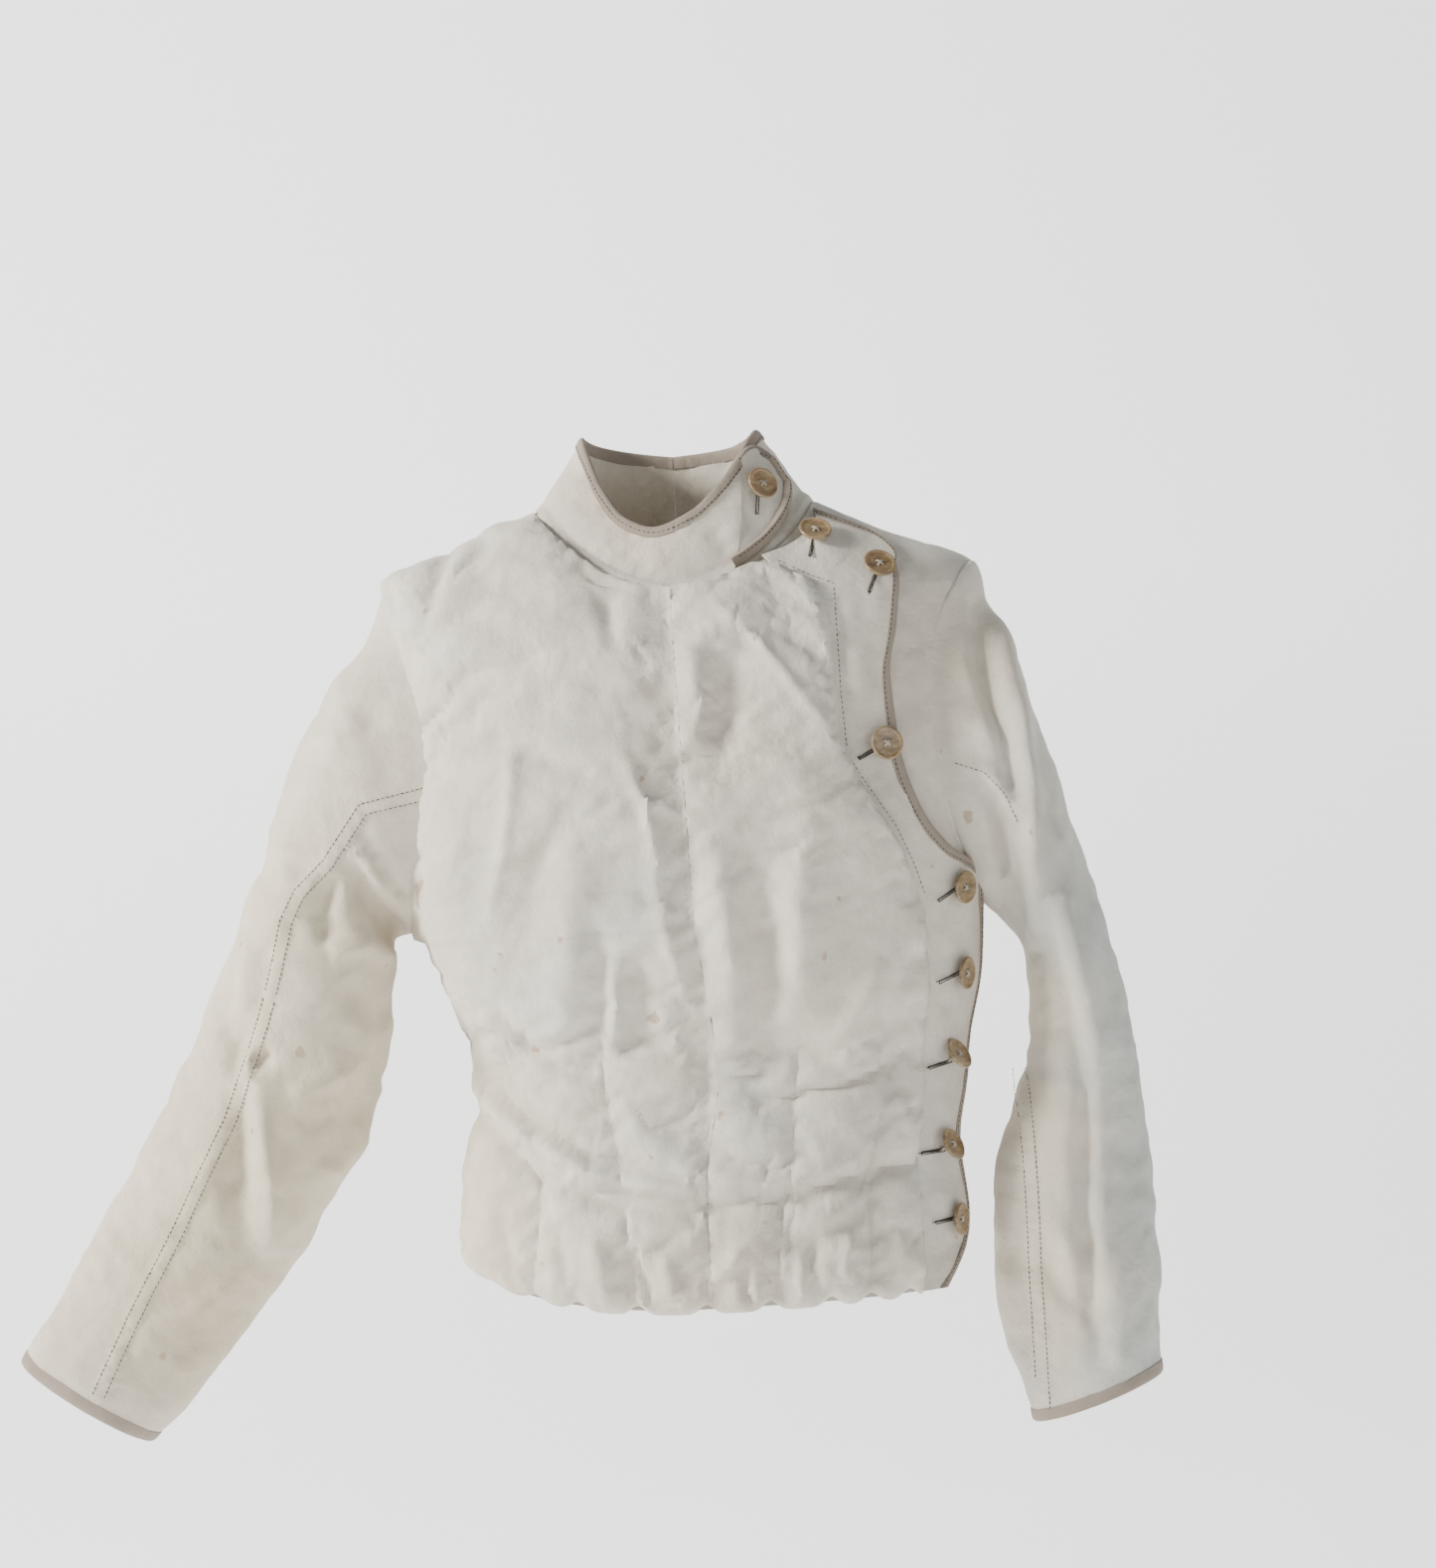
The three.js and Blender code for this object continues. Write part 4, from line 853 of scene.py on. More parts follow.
along = np.linspace(0, 1, 300)
band_width = np.linalg.norm(band_point(along, 1.0) - band_point(along, 0.0), axis=-1)
TAPE_WIDTH = 8.5
u, v = strip_places(300, 26, -3.0 / band_width, 1 - 0.4 * TAPE_WIDTH / band_width)
base = band_point(u, v)
normal = surface_normals(band_point, u, v, from_axis)
flat = base[..., [0, 2]]
BAND_FOLDS = [
    ([(110, -66), (107, -100), (106, -139), (108, -178)], 3.0, -0.9), ([(112, -72), (116, -120), (113, -160)], 9, 1.6),
    ([(108, -182), (122, -206), (138, -229), (156, -278)], 3.0, -0.8),
    ([(122, -196), (136, -214), (150, -240)], 7, 1.5),
    ([(113, -172), (128, -168)], 5, -1.6), ([(92, -30), (104, -40), (112, -50)], 7, 1.5),
    ([(158, -300), (170, -318)], 6, 1.2), ([(160, -360), (172, -352)], 5, -1.2), ([(152, -420), (166, -430)], 6, 1.4),
    ([(150, -480), (160, -500)], 7, 1.5), ([(146, -530), (166, -520)], 6, -1.4),
]
lift = folds(flat, BAND_FOLDS) + 0.9 * rumple(base, 26, 11) + 0.5 * rumple(base, 11, 12)
lift *= smooth_step(1 - v, 0.0, 0.25) * 0.8 + 0.2
band_outer = base + normal * (BAND_TO + lift)[..., None]
band_inner = base + normal * (BAND_FROM + lift)[..., None]
band = cloth_solid("buttonhole_band", band_outer, band_inner, toned(band_outer))
print("band:", len(band.data.polygons), "faces, %.0f to %.0f mm wide" % (band_width.min(), band_width.max()))

# %% [markdown]
# ## Binding tape
# A folded tape wraps each raw edge. Its cross-section is a flat loop with a rounded outer side, carried along
# the edge as a closed tube. A curve with a bevel would also do it, but it can't lean the loop to lie on the
# cloth, so the loop is placed from three directions at each station: along, inwards and outwards.

# %% Tape maker
LOOP = [(1, -0.9), (0.72, -1), (0.4, -1.04), (0.14, -0.9), (0.02, -0.5), (-0.02, 0), (0.02, 0.5), (0.14, 0.9),
        (0.4, 1.04), (0.72, 1), (1, 0.9), (1.0, 0.3), (1.0, -0.3)]


def bind(name, edge, inward, normal, middle, half, width=TAPE_WIDTH, seed=20, closed=False):
    """A tape over an edge. middle is the loop's centre along the normal, half its half thickness."""
    inward = inward / np.linalg.norm(inward, axis=-1, keepdims=True)
    middle = np.broadcast_to(middle, edge.shape[:1])[:, None, None]
    fine = 1 + 0.06 * rumple(edge, (6, 6, 6), seed) + 0.05 * rumple(edge, (17, 17, 17), seed + 1)
    a = np.array([q[0] for q in LOOP])[None, :, None]
    b = np.array([q[1] for q in LOOP])[None, :, None]
    pucker = 0.16 * rumple(edge, (3.2, 3.2, 3.2), seed + 2)
    grid = (edge[:, None] + inward[:, None] * a * (width * fine)[:, None, None]
            + normal[:, None] * (middle + b * (half + pucker[:, None, None])))
    n, m = grid.shape[:2]
    i = np.arange(n * m).reshape(n, m)
    nxt = np.roll(i, -1, 1)
    faces = np.stack([i[:-1].ravel(), nxt[:-1].ravel(), nxt[1:].ravel(), i[1:].ravel()], -1)
    points = grid.reshape(-1, 3)
    run = np.concatenate([[0], np.cumsum(np.linalg.norm(np.diff(edge, axis=0), axis=1))])
    uv = np.stack([np.repeat(run[:, None], m, 1), np.repeat((np.arange(m) * 1.6)[None], n, 0)], -1).reshape(-1, 2)
    if closed:
        extra = np.stack([i[-1], nxt[-1], nxt[0], i[0]], -1)
        faces = np.concatenate([faces, extra])
    else:
        ends, caps = np.stack([grid[0].mean(0), grid[-1].mean(0)]), []
        points = np.concatenate([points, ends])
        uv = np.concatenate([uv, uv[:1], uv[-1:]])
        for k in range(m):
            caps += [[i[0, (k + 1) % m], i[0, k], n * m, n * m], [i[-1, k], i[-1, (k + 1) % m], n * m + 1, n * m + 1]]
        return finish_tape(name, points, faces, caps, uv)
    return make_mesh(name, points, faces, uv, None, 65)


def finish_tape(name, points, faces, caps, uv):
    """The tube's faces are quads and its end caps are fans, so they are listed together as plain lists."""
    world = to_frame(points)
    a, b, c, d = (world[faces[:, k]] for k in range(4))
    turn = ((a * np.cross(b, c)).sum() + (a * np.cross(c, d)).sum()) < 0
    every = faces.tolist() + [cap[:3] for cap in caps]
    every = [f[::-1] for f in every] if turn else every
    return linked_mesh(name, world, every, uv, None, 65)


along = np.linspace(0, 1, 620)
edge = band_point(along, 1.0)
normal = surface_normals(band_point, along, np.full(along.shape, 0.999), from_axis)
inward = band_point(along, 0.9) - edge
closing_tape = bind("closing_edge_tape", edge, inward, normal, 3.6, 2.1)
print("closing tape %.2f m long" % (np.linalg.norm(np.diff(edge, axis=0), axis=1).sum() / 1000))

# %% [markdown]
# ## The collar
# The collar stands just inside the neckline and leans in. It dips low in front and rises over the shoulders.
# It is one band on the real jacket, but here it is cut where it has to turn: the part that stays with the
# body, the short stretch on the overlap, and the rounded tab that buttons over. An underlap runs on behind
# the tab. Each part is two grids between two angles, and the parts share their edge points.

# %% Collar surface
COLLAR_RISE = curve_through([
    [-90, 0.83], [-50, 0.87], [-20, 0.97], [5, 1], [25, 0.9], [42, 0.68], [60, 0.4], [80, 0.14], [104, 0],
    [125, 0.12], [145, 0.45], [165, 0.85], [180, 1], [215, 0.94], [270, 0.83],
])


def collar_point(angle, height):
    angle, height = np.broadcast_arrays(np.asarray(angle, float), np.asarray(height, float))
    c, s = cosd(angle), sind(angle)
    ring = np.stack([92 * c, -s * np.where(s > 0, 68.0, 53.0), neck_z(angle) + 2.4], -1)
    share = COLLAR_RISE(np.where(angle > 270, angle - 360, angle))[..., 0]
    top = np.stack([60 * c, -s * np.where(s > 0, 52.0, 45.0), -16 + 69 * share], -1)
    return ring + (top - ring) * height[..., None]


COLLAR_FOLDS = [
    ([(-88, 20), (-60, -20), (-30, -48)], 9, 1.6), ([(-60, 30), (-40, -8), (-15, -34)], 7, -1.5),
    ([(-30, -20), (-10, -44), (10, -56)], 8, 1.2), ([(-70, 45), (-66, 20)], 6, -1.2),
    ([(20, -10), (30, -30), (34, -48)], 7, -1.4), ([(50, 10), (40, -12), (36, -30)], 7, 1.2),
]


def collar_cloth(name, angles, heights, step=0.0):
    base = collar_point(angles, heights)
    normal = surface_normals(collar_point, angles, heights, from_middle)
    lift = folds(base[..., [0, 2]], COLLAR_FOLDS) * (base[..., 1] < 0) + 0.9 * rumple(base, (24, 24, 16), 31)
    lift = (lift + 0.5 * rumple(turned(base, 40), (16, 12, 6), 32)) * smooth_step(heights, -0.02, 0.16)
    shift = 0.6 - step
    flare = 2.8 * (1 - smooth_step(heights, 0.0, 0.12))  # the collar is drawn out to the neckline seam
    outer = base + normal * (shift + 3.0 + lift + flare)[..., None]
    inner = base + normal * (shift + lift)[..., None]
    return cloth_solid(name, outer, inner, toned(outer, COLLAR_TONES))


def underlap_step(angle):
    """The underlap runs inside the tab by 4.7 mm, and flush with the rest of the collar at the back."""
    return 4.7 * smooth_step(angle, 330, 385)


COLLAR_TONES = [((-30, -15), 16, (1.12, 0.98, 0.86)), ((-48, 8), 14, (1.10, 0.98, 0.88)),
                ((-14, -32), 15, (1.10, 0.97, 0.86)), ((20, -30), 30, (1.0, 1.0, 0.99))]
height = np.linspace(-0.1, 0.9, 32)[:, None]
collar_main = collar_cloth("collar_main", np.repeat(np.linspace(90.9, 269.8, 150)[None], 32, 0),
                           height + np.zeros((1, 150)))
collar_under = collar_cloth("collar_underlap_cloth", np.repeat(np.linspace(269.85, 444, 150)[None], 32, 0),
                            height + np.zeros((1, 150)), underlap_step(np.linspace(269.85, 444, 150)[None]))


def tab_root(height):
    return 66 - 24 * height


share = np.linspace(0, 1, 26)[None, :]
collar_front = collar_cloth("collar_front_part", 90.9 + (tab_root(height) - 90.9) * share, height + 0 * share)
print("collar:", len(collar_main.data.polygons) + len(collar_under.data.polygons), "faces")

# %% The rounded tab
TAB_END, TAB_LEAN = 17.0, 0.46


def tab_point(along, height):
    return collar_point(tab_root(height) + (TAB_END - tab_root(height)) * along, height)


def tab_span(along):
    return np.sqrt(np.clip(1 - np.abs(0.95 * along) ** 2.4, 0, 1))


def tab_place(along, across):
    """across is -1 at the tab's low edge and 1 at its high edge."""
    high = TAB_LEAN + (1 - TAB_LEAN) * tab_span(along)
    low = TAB_LEAN - (TAB_LEAN - 0.05) * tab_span(along)
    return np.where(across > 0, TAB_LEAN + (high - TAB_LEAN) * across, TAB_LEAN + (TAB_LEAN - low) * across)


along = np.repeat(np.linspace(0, 1, 46)[None, :], 34, 0)
across = np.repeat(np.linspace(-1, 1, 34)[:, None], 46, 1)
reach = along * 0.93
height = TAB_LEAN + (tab_place(along, across) - TAB_LEAN) * 0.9
base = tab_point(reach, height)
normal = grid_normals(base)
normal *= np.sign((normal * from_middle(base)).sum(-1))[..., None]
lift = 0.7 * rumple(base, (18, 18, 14), 33) + folds(base[..., [0, 2]], [([(52, 6), (60, -4), (66, -10)], 6, -0.9)])
lift *= smooth_step(along, 0, 0.1)
tab_outer, tab_inner = base + normal * (3.6 + lift)[..., None], base + normal * (0.6 + lift)[..., None]
collar_tab = cloth_solid("collar_tab_cloth", tab_outer, tab_inner, toned(tab_outer))

# %% Collar tapes
def collar_edge_tape(name, angles, step=0.0, seed=40):
    edge = collar_point(angles, 1.0)
    below = collar_point(angles, 0.9) - edge
    normal = surface_normals(collar_point, angles, np.full(angles.shape, 0.999), from_middle)
    return bind(name, edge, below, normal, 2.1 - step, 2.2, 8.5, seed)


collar_main_tape = collar_edge_tape("collar_main_tape", np.linspace(90.9, 269.8, 260))
collar_under_tape = collar_edge_tape("collar_underlap_tape", np.linspace(269.85, 444, 260),
                                     underlap_step(np.linspace(269.85, 444, 260)), 44)
collar_front_tape = collar_edge_tape("collar_front_tape", np.linspace(42.3, 90.9, 90), 0.0, 48)
round_tab = np.linspace(0, math.pi, 300)
tab_along = np.sin(round_tab) ** 0.9
tab_across = np.where(round_tab < math.pi / 2, 1.0, -1.0)
edge = tab_point(tab_along, tab_place(tab_along, tab_across))
smooth_edge = edge.copy()
for _ in range(6):
    smooth_edge[1:-1] = (smooth_edge[:-2] + 2 * smooth_edge[1:-1] + smooth_edge[2:]) / 4
middle_line = tab_point(np.clip(tab_along - 0.30, 0, 0.55), np.full(edge.shape[:1], TAB_LEAN))
tangent = np.gradient(smooth_edge, axis=0)
tab_out = from_middle(smooth_edge)
tab_out = tab_out / np.linalg.norm(tab_out, axis=-1, keepdims=True)
tab_in = np.cross(tangent, tab_out)
tab_in /= np.linalg.norm(tab_in, axis=-1, keepdims=True)
tab_in *= np.sign((tab_in * (middle_line - smooth_edge)).sum(-1))[:, None]
tab_out = np.cross(tangent, tab_in)
tab_out /= np.linalg.norm(tab_out, axis=-1, keepdims=True)
tab_out *= np.sign((tab_out * from_middle(smooth_edge)).sum(-1))[:, None]
collar_tab_tape = bind("collar_tab_tape", smooth_edge, tab_in, tab_out, 2.1, 2.3, 8.2, 52)
print("tab tape %.3f m long" % (np.linalg.norm(np.diff(edge, axis=0), axis=1).sum() / 1000))

# %% [markdown]
# ## Under-front, back and sides
# These are single cloths of drill, thinner than the pads. The under-front carries the buttons and shows
# between the closing tape and the armhole. The back hangs in broad soft folds. Each panel uses the same
# rows as the fronts, and a thin lining sheet lies inside the fronts.

# %% Thin panels
def panel_places(side, start_of, end_of, columns, step, skirt_from, skirt_to):
    """Rows of angles and heights from the shoulder to the waist, then down to the hem."""
    upper = np.concatenate([level_rows(-1.5, -60, step * 0.6), level_rows(-60, -395, step)[1:]])
    start, end = start_of(upper), end_of(upper)
    share = np.linspace(0, 1, columns)
    angles = start[:, None] + (end - start)[:, None] * share
    heights = np.repeat(upper[:, None], columns, 1)
    down = np.linspace(0, 1, int(150 / step))[1:, None]
    skirt = skirt_from + (skirt_to - skirt_from) * share[None, :]
    return (np.concatenate([angles, np.repeat(skirt, len(down), 0)]),
            np.concatenate([heights, -395 + (hem_z(skirt) + 395) * down]))


def thin_panel(name, angles, heights, table, low, high, ease=1.0, seed=60):
    base = body_point(angles, heights)
    normal = surface_normals(body_point, angles, heights, from_axis)
    front = (normal[..., 1] < 0) * 1.0
    lift = folds(base[..., [0, 2]], table) * front + ease * 1.6 * rumple(base, (46, 46, 60), seed)
    lift += ease * 1.0 * rumple(turned(base, 30), (24, 24, 12), seed + 1)
    lift += ease * 0.5 * rumple(turned(base, -20), (11, 11, 8), seed + 2)
    lift = np.minimum(lift, 1.4) * (0.15 + 0.85 * smooth_step(heights - hem_z(angles), 12, 40))
    outer, inner = (base + normal * (x + lift)[..., None] for x in (high, low))
    return cloth_solid(name, outer, inner, toned(outer)), outer


UNDER_FOLDS = [
    ([(150, -60), (158, -110), (160, -160)], 10, -2.0), ([(176, -70), (170, -120), (172, -170)], 7, 1.6),
    ([(160, -70), (150, -80)], 8, 1.2), ([(172, -190), (190, -230), (196, -262)], 6, 1.5),
    ([(164, -200), (180, -235), (190, -262)], 6, -2.0),
]
angles, heights = panel_places(1, lambda z: armhole_angle(z, 0.1, 90, -3, 13.25), lambda z: neck_angle(z, 4, 97),
                               80, 3.2, 13.25, 97)
under_front, _ = thin_panel("under_front", angles, heights, UNDER_FOLDS, -1.8, -0.3)
angles, heights = panel_places(-1, lambda z: armhole_angle(z, 180.1, 270, -3, 197.25),
                               lambda z: neck_angle(z, 184, 270), 80, 3.4, 197.25, 270)
back_right, _ = thin_panel("back_right_cloth", angles, heights, [], -1.8, -0.3, 2.0, 64)
angles, heights = panel_places(-1, lambda z: neck_angle(z, 356, 270),
                               lambda z: armhole_angle(z, 359.9, 270, -3, 342.75), 80, 3.4, 270, 342.75)
back_left, _ = thin_panel("back_left_cloth", angles, heights, [], -1.8, -0.3, 2.0, 64)


def side_places(start, end):
    rows = np.linspace(0, 1, 76)[:, None]
    angle = np.linspace(start, end, 22)[None, :] + 0 * rows
    return angle, -285 + (hem_z(angle) + 285) * rows


right_side, _ = thin_panel("right_side_cloth", *side_places(166.75, 197.25), [], -1.8, -0.3, 1.6, 66)
left_side, _ = thin_panel("left_side_cloth", *side_places(-17.25, 13.25), [], -1.8, -0.3, 1.6, 68)
print("thin panels:", [o.name for o in (under_front, back_right, back_left, right_side, left_side)])

# %% Linings
angles, heights = right_front_places(40, 7.0)
right_lining, _ = thin_panel("right_front_lining_cloth", angles, heights, [], 0.9, 1.5, 0.25, 70)
angles, heights = overlap_places(90, 30)
overlap_lining, _ = thin_panel("overlap_lining_cloth", angles, heights, [], 0.9, 1.5, 0.25, 70)
angles, heights = panel_places(1, lambda z: armhole_angle(z, 1, 90, 2, 13.25), lambda z: neck_angle(z, 4, 96),
                               36, 8.0, 13.25, 96)
under_lining, _ = thin_panel("under_front_lining_cloth", angles, heights, [], -5.4, -4.9, 0.4, 72)


def hem_facing(name, start, end, low, high, lift_scale=1.0, seed=80):
    """The hem's tape, turned up inside."""
    count = max(int(abs(end - start) * 1.6), 30)
    angle = np.repeat(np.linspace(start, end, count)[None], 8, 0)
    z = hem_z(angle) + np.linspace(1.0, 13.0, 8)[:, None]
    if "overlap" in name:
        z = -550 + np.linspace(1.0, 13.0, 8)[:, None] + 0 * angle
    base = body_point(angle, z)
    normal = surface_normals(body_point, angle, z, from_axis)
    lift = 0.3 * rumple(base, (9, 9, 9), seed)
    outer, inner = (base + normal * (x + lift)[..., None] for x in (high, low))
    for grid in (outer, inner):
        grid[..., 2] += lift_scale * hem_lift(base[..., 0], base[..., 2])
    return cloth_solid(name, outer, inner)


facing_right = hem_facing("right_front_hem_tape", 91.1, 166.9, 0.2, 0.9)
facing_overlap = hem_facing("overlap_hem_tape", float(front_angle(0.794)), 90.9, 0.2, 0.9)
facing_under = hem_facing("under_front_hem_tape", 13.1, 97, -3.3, -2.5, 0.0)
facing_back = hem_facing("back_hem_tape", 166.9, 373.1, -3.2, -2.5, 0.0)
print("hem tapes done")

# %% [markdown]
# ## Sleeves
# A sleeve hangs as a flattened tube. Its table gives the outer and inner side of seven sections from the
# armhole to the cuff, how deep each is and how far it has come forward. The tube is made once and cut at
# the elbow into an upper and a lower part, which both stay where they are made. A run-and-fell seam shows
# as a low raised strip with two rows of stitches.

# %% Sleeve surface
LEFT_SLEEVE = [
    [205, 48, 205, 283, 64, 8], [239, 140, 217, 304, 64, 8], [272, 264, 227, 334, 62, 8],
    [299, 388, 226, 394, 58, 10], [308, 477, 195, 484, 44, 16], [307, 550, 193, 560, 38, 22],
    [305, 620, 213, 650, 33, 28],
]
RIGHT_SLEEVE = [
    [205, 48, 205, 283, 64, 8], [265, 138, 214, 296, 62, 8], [313, 251, 213, 312, 58, 8],
    [356, 348, 236, 418, 50, 12], [408, 442, 298, 513, 44, 18], [450, 510, 350, 578, 38, 24],
    [488, 568, 400, 628, 33, 30],
]


def sleeve_surface(sections, side):
    table = curve_through([[k / 6, *row] for k, row in enumerate(sections)])

    def at(along, round_angle):
        along, round_angle = np.broadcast_arrays(np.asarray(along, float), np.asarray(round_angle, float))
        s = table(along)
        c, n = cosd(round_angle), sind(round_angle)
        share = (1 - c) / 2
        x = s[..., 0] + (s[..., 2] - s[..., 0]) * share - 24 * n * n * (1 - np.clip(along / 0.25, 0, 1)) ** 2
        z = -(s[..., 1] + (s[..., 3] - s[..., 1]) * share)
        p = np.stack([side * x, -s[..., 5] - n * s[..., 4], z], -1)
        # The head of the sleeve is drawn in to meet the body at the armhole.
        t = SECTION(-p[..., 2])
        depth = np.where(p[..., 1] < 0, t[..., 2], t[..., 3])
        r = ((np.abs(p[..., 0] - t[..., 1]) / t[..., 0]) ** POWER + (np.abs(p[..., 1]) / depth) ** POWER) ** (1 / POWER)
        centre = np.stack([t[..., 1], 0 * r, p[..., 2]], -1)
        ray = p - centre
        onto = centre + ray / r[..., None]
        proud = 0.6 + 2.6 * smooth_step(p[..., 2:], -150, -60)
        onto += proud * ray / np.maximum(np.linalg.norm(ray, axis=-1, keepdims=True), 1)
        w = np.clip(1 - along / 0.11, 0, 1)[..., None]
        return p + (onto - p) * w * w * (3 - 2 * w)

    return at


LEFT_FOLDS = [
    ([(205, -70), (206, -131), (218, -173), (222, -214)], 7.1, -6),
    ([(217, -77), (224, -139), (231, -207), (233, -269), (231, -323)], 8, 6),
    ([(201, -206), (208, -233), (211, -268)], 5.3, -5),
    ([(184, -192), (201, -196), (214, -210), (223, -231)], 5.3, 2.5),
    ([(234, -283), (249, -372), (258, -420), (255, -488), (255, -556), (260, -614)], 8, -5),
    ([(244, -283), (260, -352), (269, -407)], 12.4, 4),
    ([(242, -372), (254, -403)], 6.2, -2.5),
    ([(282, -394), (283, -490), (276, -544)], 12.4, -2.5),
    ([(206, -472), (199, -526), (206, -587)], 8.8, 2),
    ([(223, -534), (238, -562), (258, -577)], 7.1, -2),
    ([(225, -486), (237, -521), (256, -549)], 8, 1.8),
    ([(283, -258), (295, -341), (301, -423)], 10.6, 2),
]
RIGHT_FOLDS = [
    ([(-235, -228), (-228, -256), (-206, -291), (-197, -302)], 8, -7),
    ([(-254, -294), (-230, -290), (-206, -308)], 8, 5),
    ([(-248, -241), (-258, -268), (-252, -289)], 8.8, -6),
    ([(-236, -227), (-217, -246), (-203, -254)], 7.1, 5),
    ([(-220, -236), (-199, -261)], 6.2, -5),
    ([(-313, -367), (-298, -364)], 7.1, -4),
    ([(-310, -377), (-308, -422), (-305, -463), (-309, -503)], 8, 5),
    ([(-318, -380), (-325, -441), (-327, -495)], 12.4, -6),
    ([(-263, -90), (-257, -118), (-258, -145)], 10.6, -2.5),
    ([(-217, -120), (-215, -148)], 10.6, -2),
    ([(-245, -313), (-229, -341), (-212, -332)], 10.6, -3.5),
    ([(-217, -359), (-240, -405), (-263, -445)], 10.6, -3.5),
    ([(-287, -389), (-259, -383), (-231, -371)], 8, 2.5),
    ([(-281, -416), (-254, -408)], 7.1, -2),
    ([(-335, -345), (-322, -353), (-326, -380)], 7.1, -3),
    ([(-277, -219), (-282, -253), (-298, -293)], 8.8, 3),
    ([(-313, -251), (-325, -291), (-335, -338)], 12.4, -3),
    ([(-308, -285), (-318, -332)], 8, 2.5),
]
LEFT_SEAM = [(218, -400), (218, -411), (219, -486), (218, -554), (219, -640)]
RIGHT_SEAM = [(-183, -190), (-225, -198), (-251, -234), (-272, -253), (-283, -273), (-292, -307), (-303, -340),
              (-316, -373), (-330, -407), (-344, -433), (-372, -485), (-404, -540), (-430, -590)]
LEFT_GUSSET = [(183, -190), (201, -197), (214, -212), (222, -232)]
SPLIT = 0.42  # the share along a sleeve where its two parts meet


def felled(flat, seam, front, seed):
    """A raised strip along a seam, drawn in at its two rows of stitches."""
    gap, share = line_distance(flat, seam)
    strip = 1.3 * smooth_step(-gap, -6.2, -4.6)
    pucker = 0.7 * rumple(np.stack([share * 900, gap, gap], -1), (5.5, 9, 9), seed) * np.exp(-(gap / 8) ** 2)
    rows = -0.9 * np.exp(-(np.abs(gap - 4.0) / 0.9) ** 2) - 0.9 * np.exp(-(np.abs(gap + 0) / 0.8) ** 2) * 0.6
    ends = smooth_step(share, 0, 0.02)
    return (strip + pucker + rows) * front * ends


def sleeve_grid(surface, sections, side, table, seams, seed):
    along = np.concatenate([np.linspace(-0.02, SPLIT, 92), np.linspace(SPLIT, 1.0, 126)[1:]])[:, None]
    turn = np.arange(0, 360, 2.4)[None, :]
    along, turn = np.broadcast_arrays(along, turn)
    head = np.clip(along, 0, 1)
    base = surface(head, turn)
    base[..., 0] += side * np.where(along < 0, along * 260, 0)
    normal = grid_normals(base, wrap=True)
    axis = base.mean(1, keepdims=True)
    normal *= np.sign((normal * (base - axis)).sum(-1, keepdims=True).mean())
    normal = np.where((normal * (base - axis)).sum(-1, keepdims=True) < -5, -normal, normal)
    front = smooth_step(-normal[..., 1], -0.05, 0.35)
    flat = base[..., [0, 2]]
    lift = folds(flat, table, 1.7) * front
    for k, seam in enumerate(seams):
        lift += felled(flat, seam, front, seed + 9 + k)
    lift += 2.6 * rumple(turned(base, 35 * side), (60, 50, 26), seed) \
        + 1.5 * rumple(turned(base, -30 * side), (30, 30, 15), seed + 1)
    lift += 0.7 * rumple(turned(base, 50 * side), (14, 14, 8), seed + 2)
    elbow = np.exp(-((along - 0.5) / 0.09) ** 2)
    lift += elbow * 2.2 * rumple(base, (40, 40, 9), seed + 3) * (0.4 + 0.6 * (1 - front))
    lift *= smooth_step(along, 0.0, 0.1) * 0.9 + 0.1
    lift *= 0.35 + 0.65 * smooth_step(1 - along, 0.0, 0.05)
    return base + normal * (lift - 0.2)[..., None], base + normal * (lift - 1.9)[..., None], along, front


sleeves = {}
for name, sections, side, table, seams, seed in (
        ("left", LEFT_SLEEVE, 1, LEFT_FOLDS, [LEFT_SEAM], 100),
        ("right", RIGHT_SLEEVE, -1, RIGHT_FOLDS, [RIGHT_SEAM], 120)):
    surface = sleeve_surface(sections, side)
    outer, inner, along, front = sleeve_grid(surface, sections, side, table, seams, seed)
    # The tone spots paint light and shade onto the sleeves: highlights and armpit shade on the right, a blue-grey
    # shaded side and a lit front face on the left.
    tone = toned(outer)
    cut = 91
    upper = cloth_solid(name + "_upper_sleeve", outer[:cut + 1], inner[:cut + 1], tone[:cut + 1], wrap=True)
    lower = cloth_solid(name + "_lower_sleeve", outer[cut:], inner[cut:], tone[cut:], wrap=True)
    sleeves[name] = {"upper": upper, "lower": lower, "outer": outer, "surface": surface, "cut": cut}
    print(name, "sleeve:", len(upper.data.polygons) + len(lower.data.polygons), "faces")

# %% Cuff tapes
for name, seed in (("left", 140), ("right", 150)):
    outer = sleeves[name]["outer"]
    edge = outer[-1]
    inward = outer[-4] - edge
    out = grid_normals(outer, wrap=True)[-3]
    out *= np.sign((out * (edge - edge.mean(0))).sum(-1).mean())
    ring = bind(name + "_cuff_tape", edge, inward, out, -0.85, 1.75, 8.5, seed, closed=True)
    sleeves[name]["cuff"] = ring
print("cuff tapes done")

# %% [markdown]
# ## Buttons
# Nine four-hole horn buttons are sewn to the under-front and come through the band. Each has its own body,
# which rocks on its thread, so each is made in place from the middle and the facing direction of its packed
# disc. A lathe profile gives the rim and the shallow dish, and the holes are cut through.

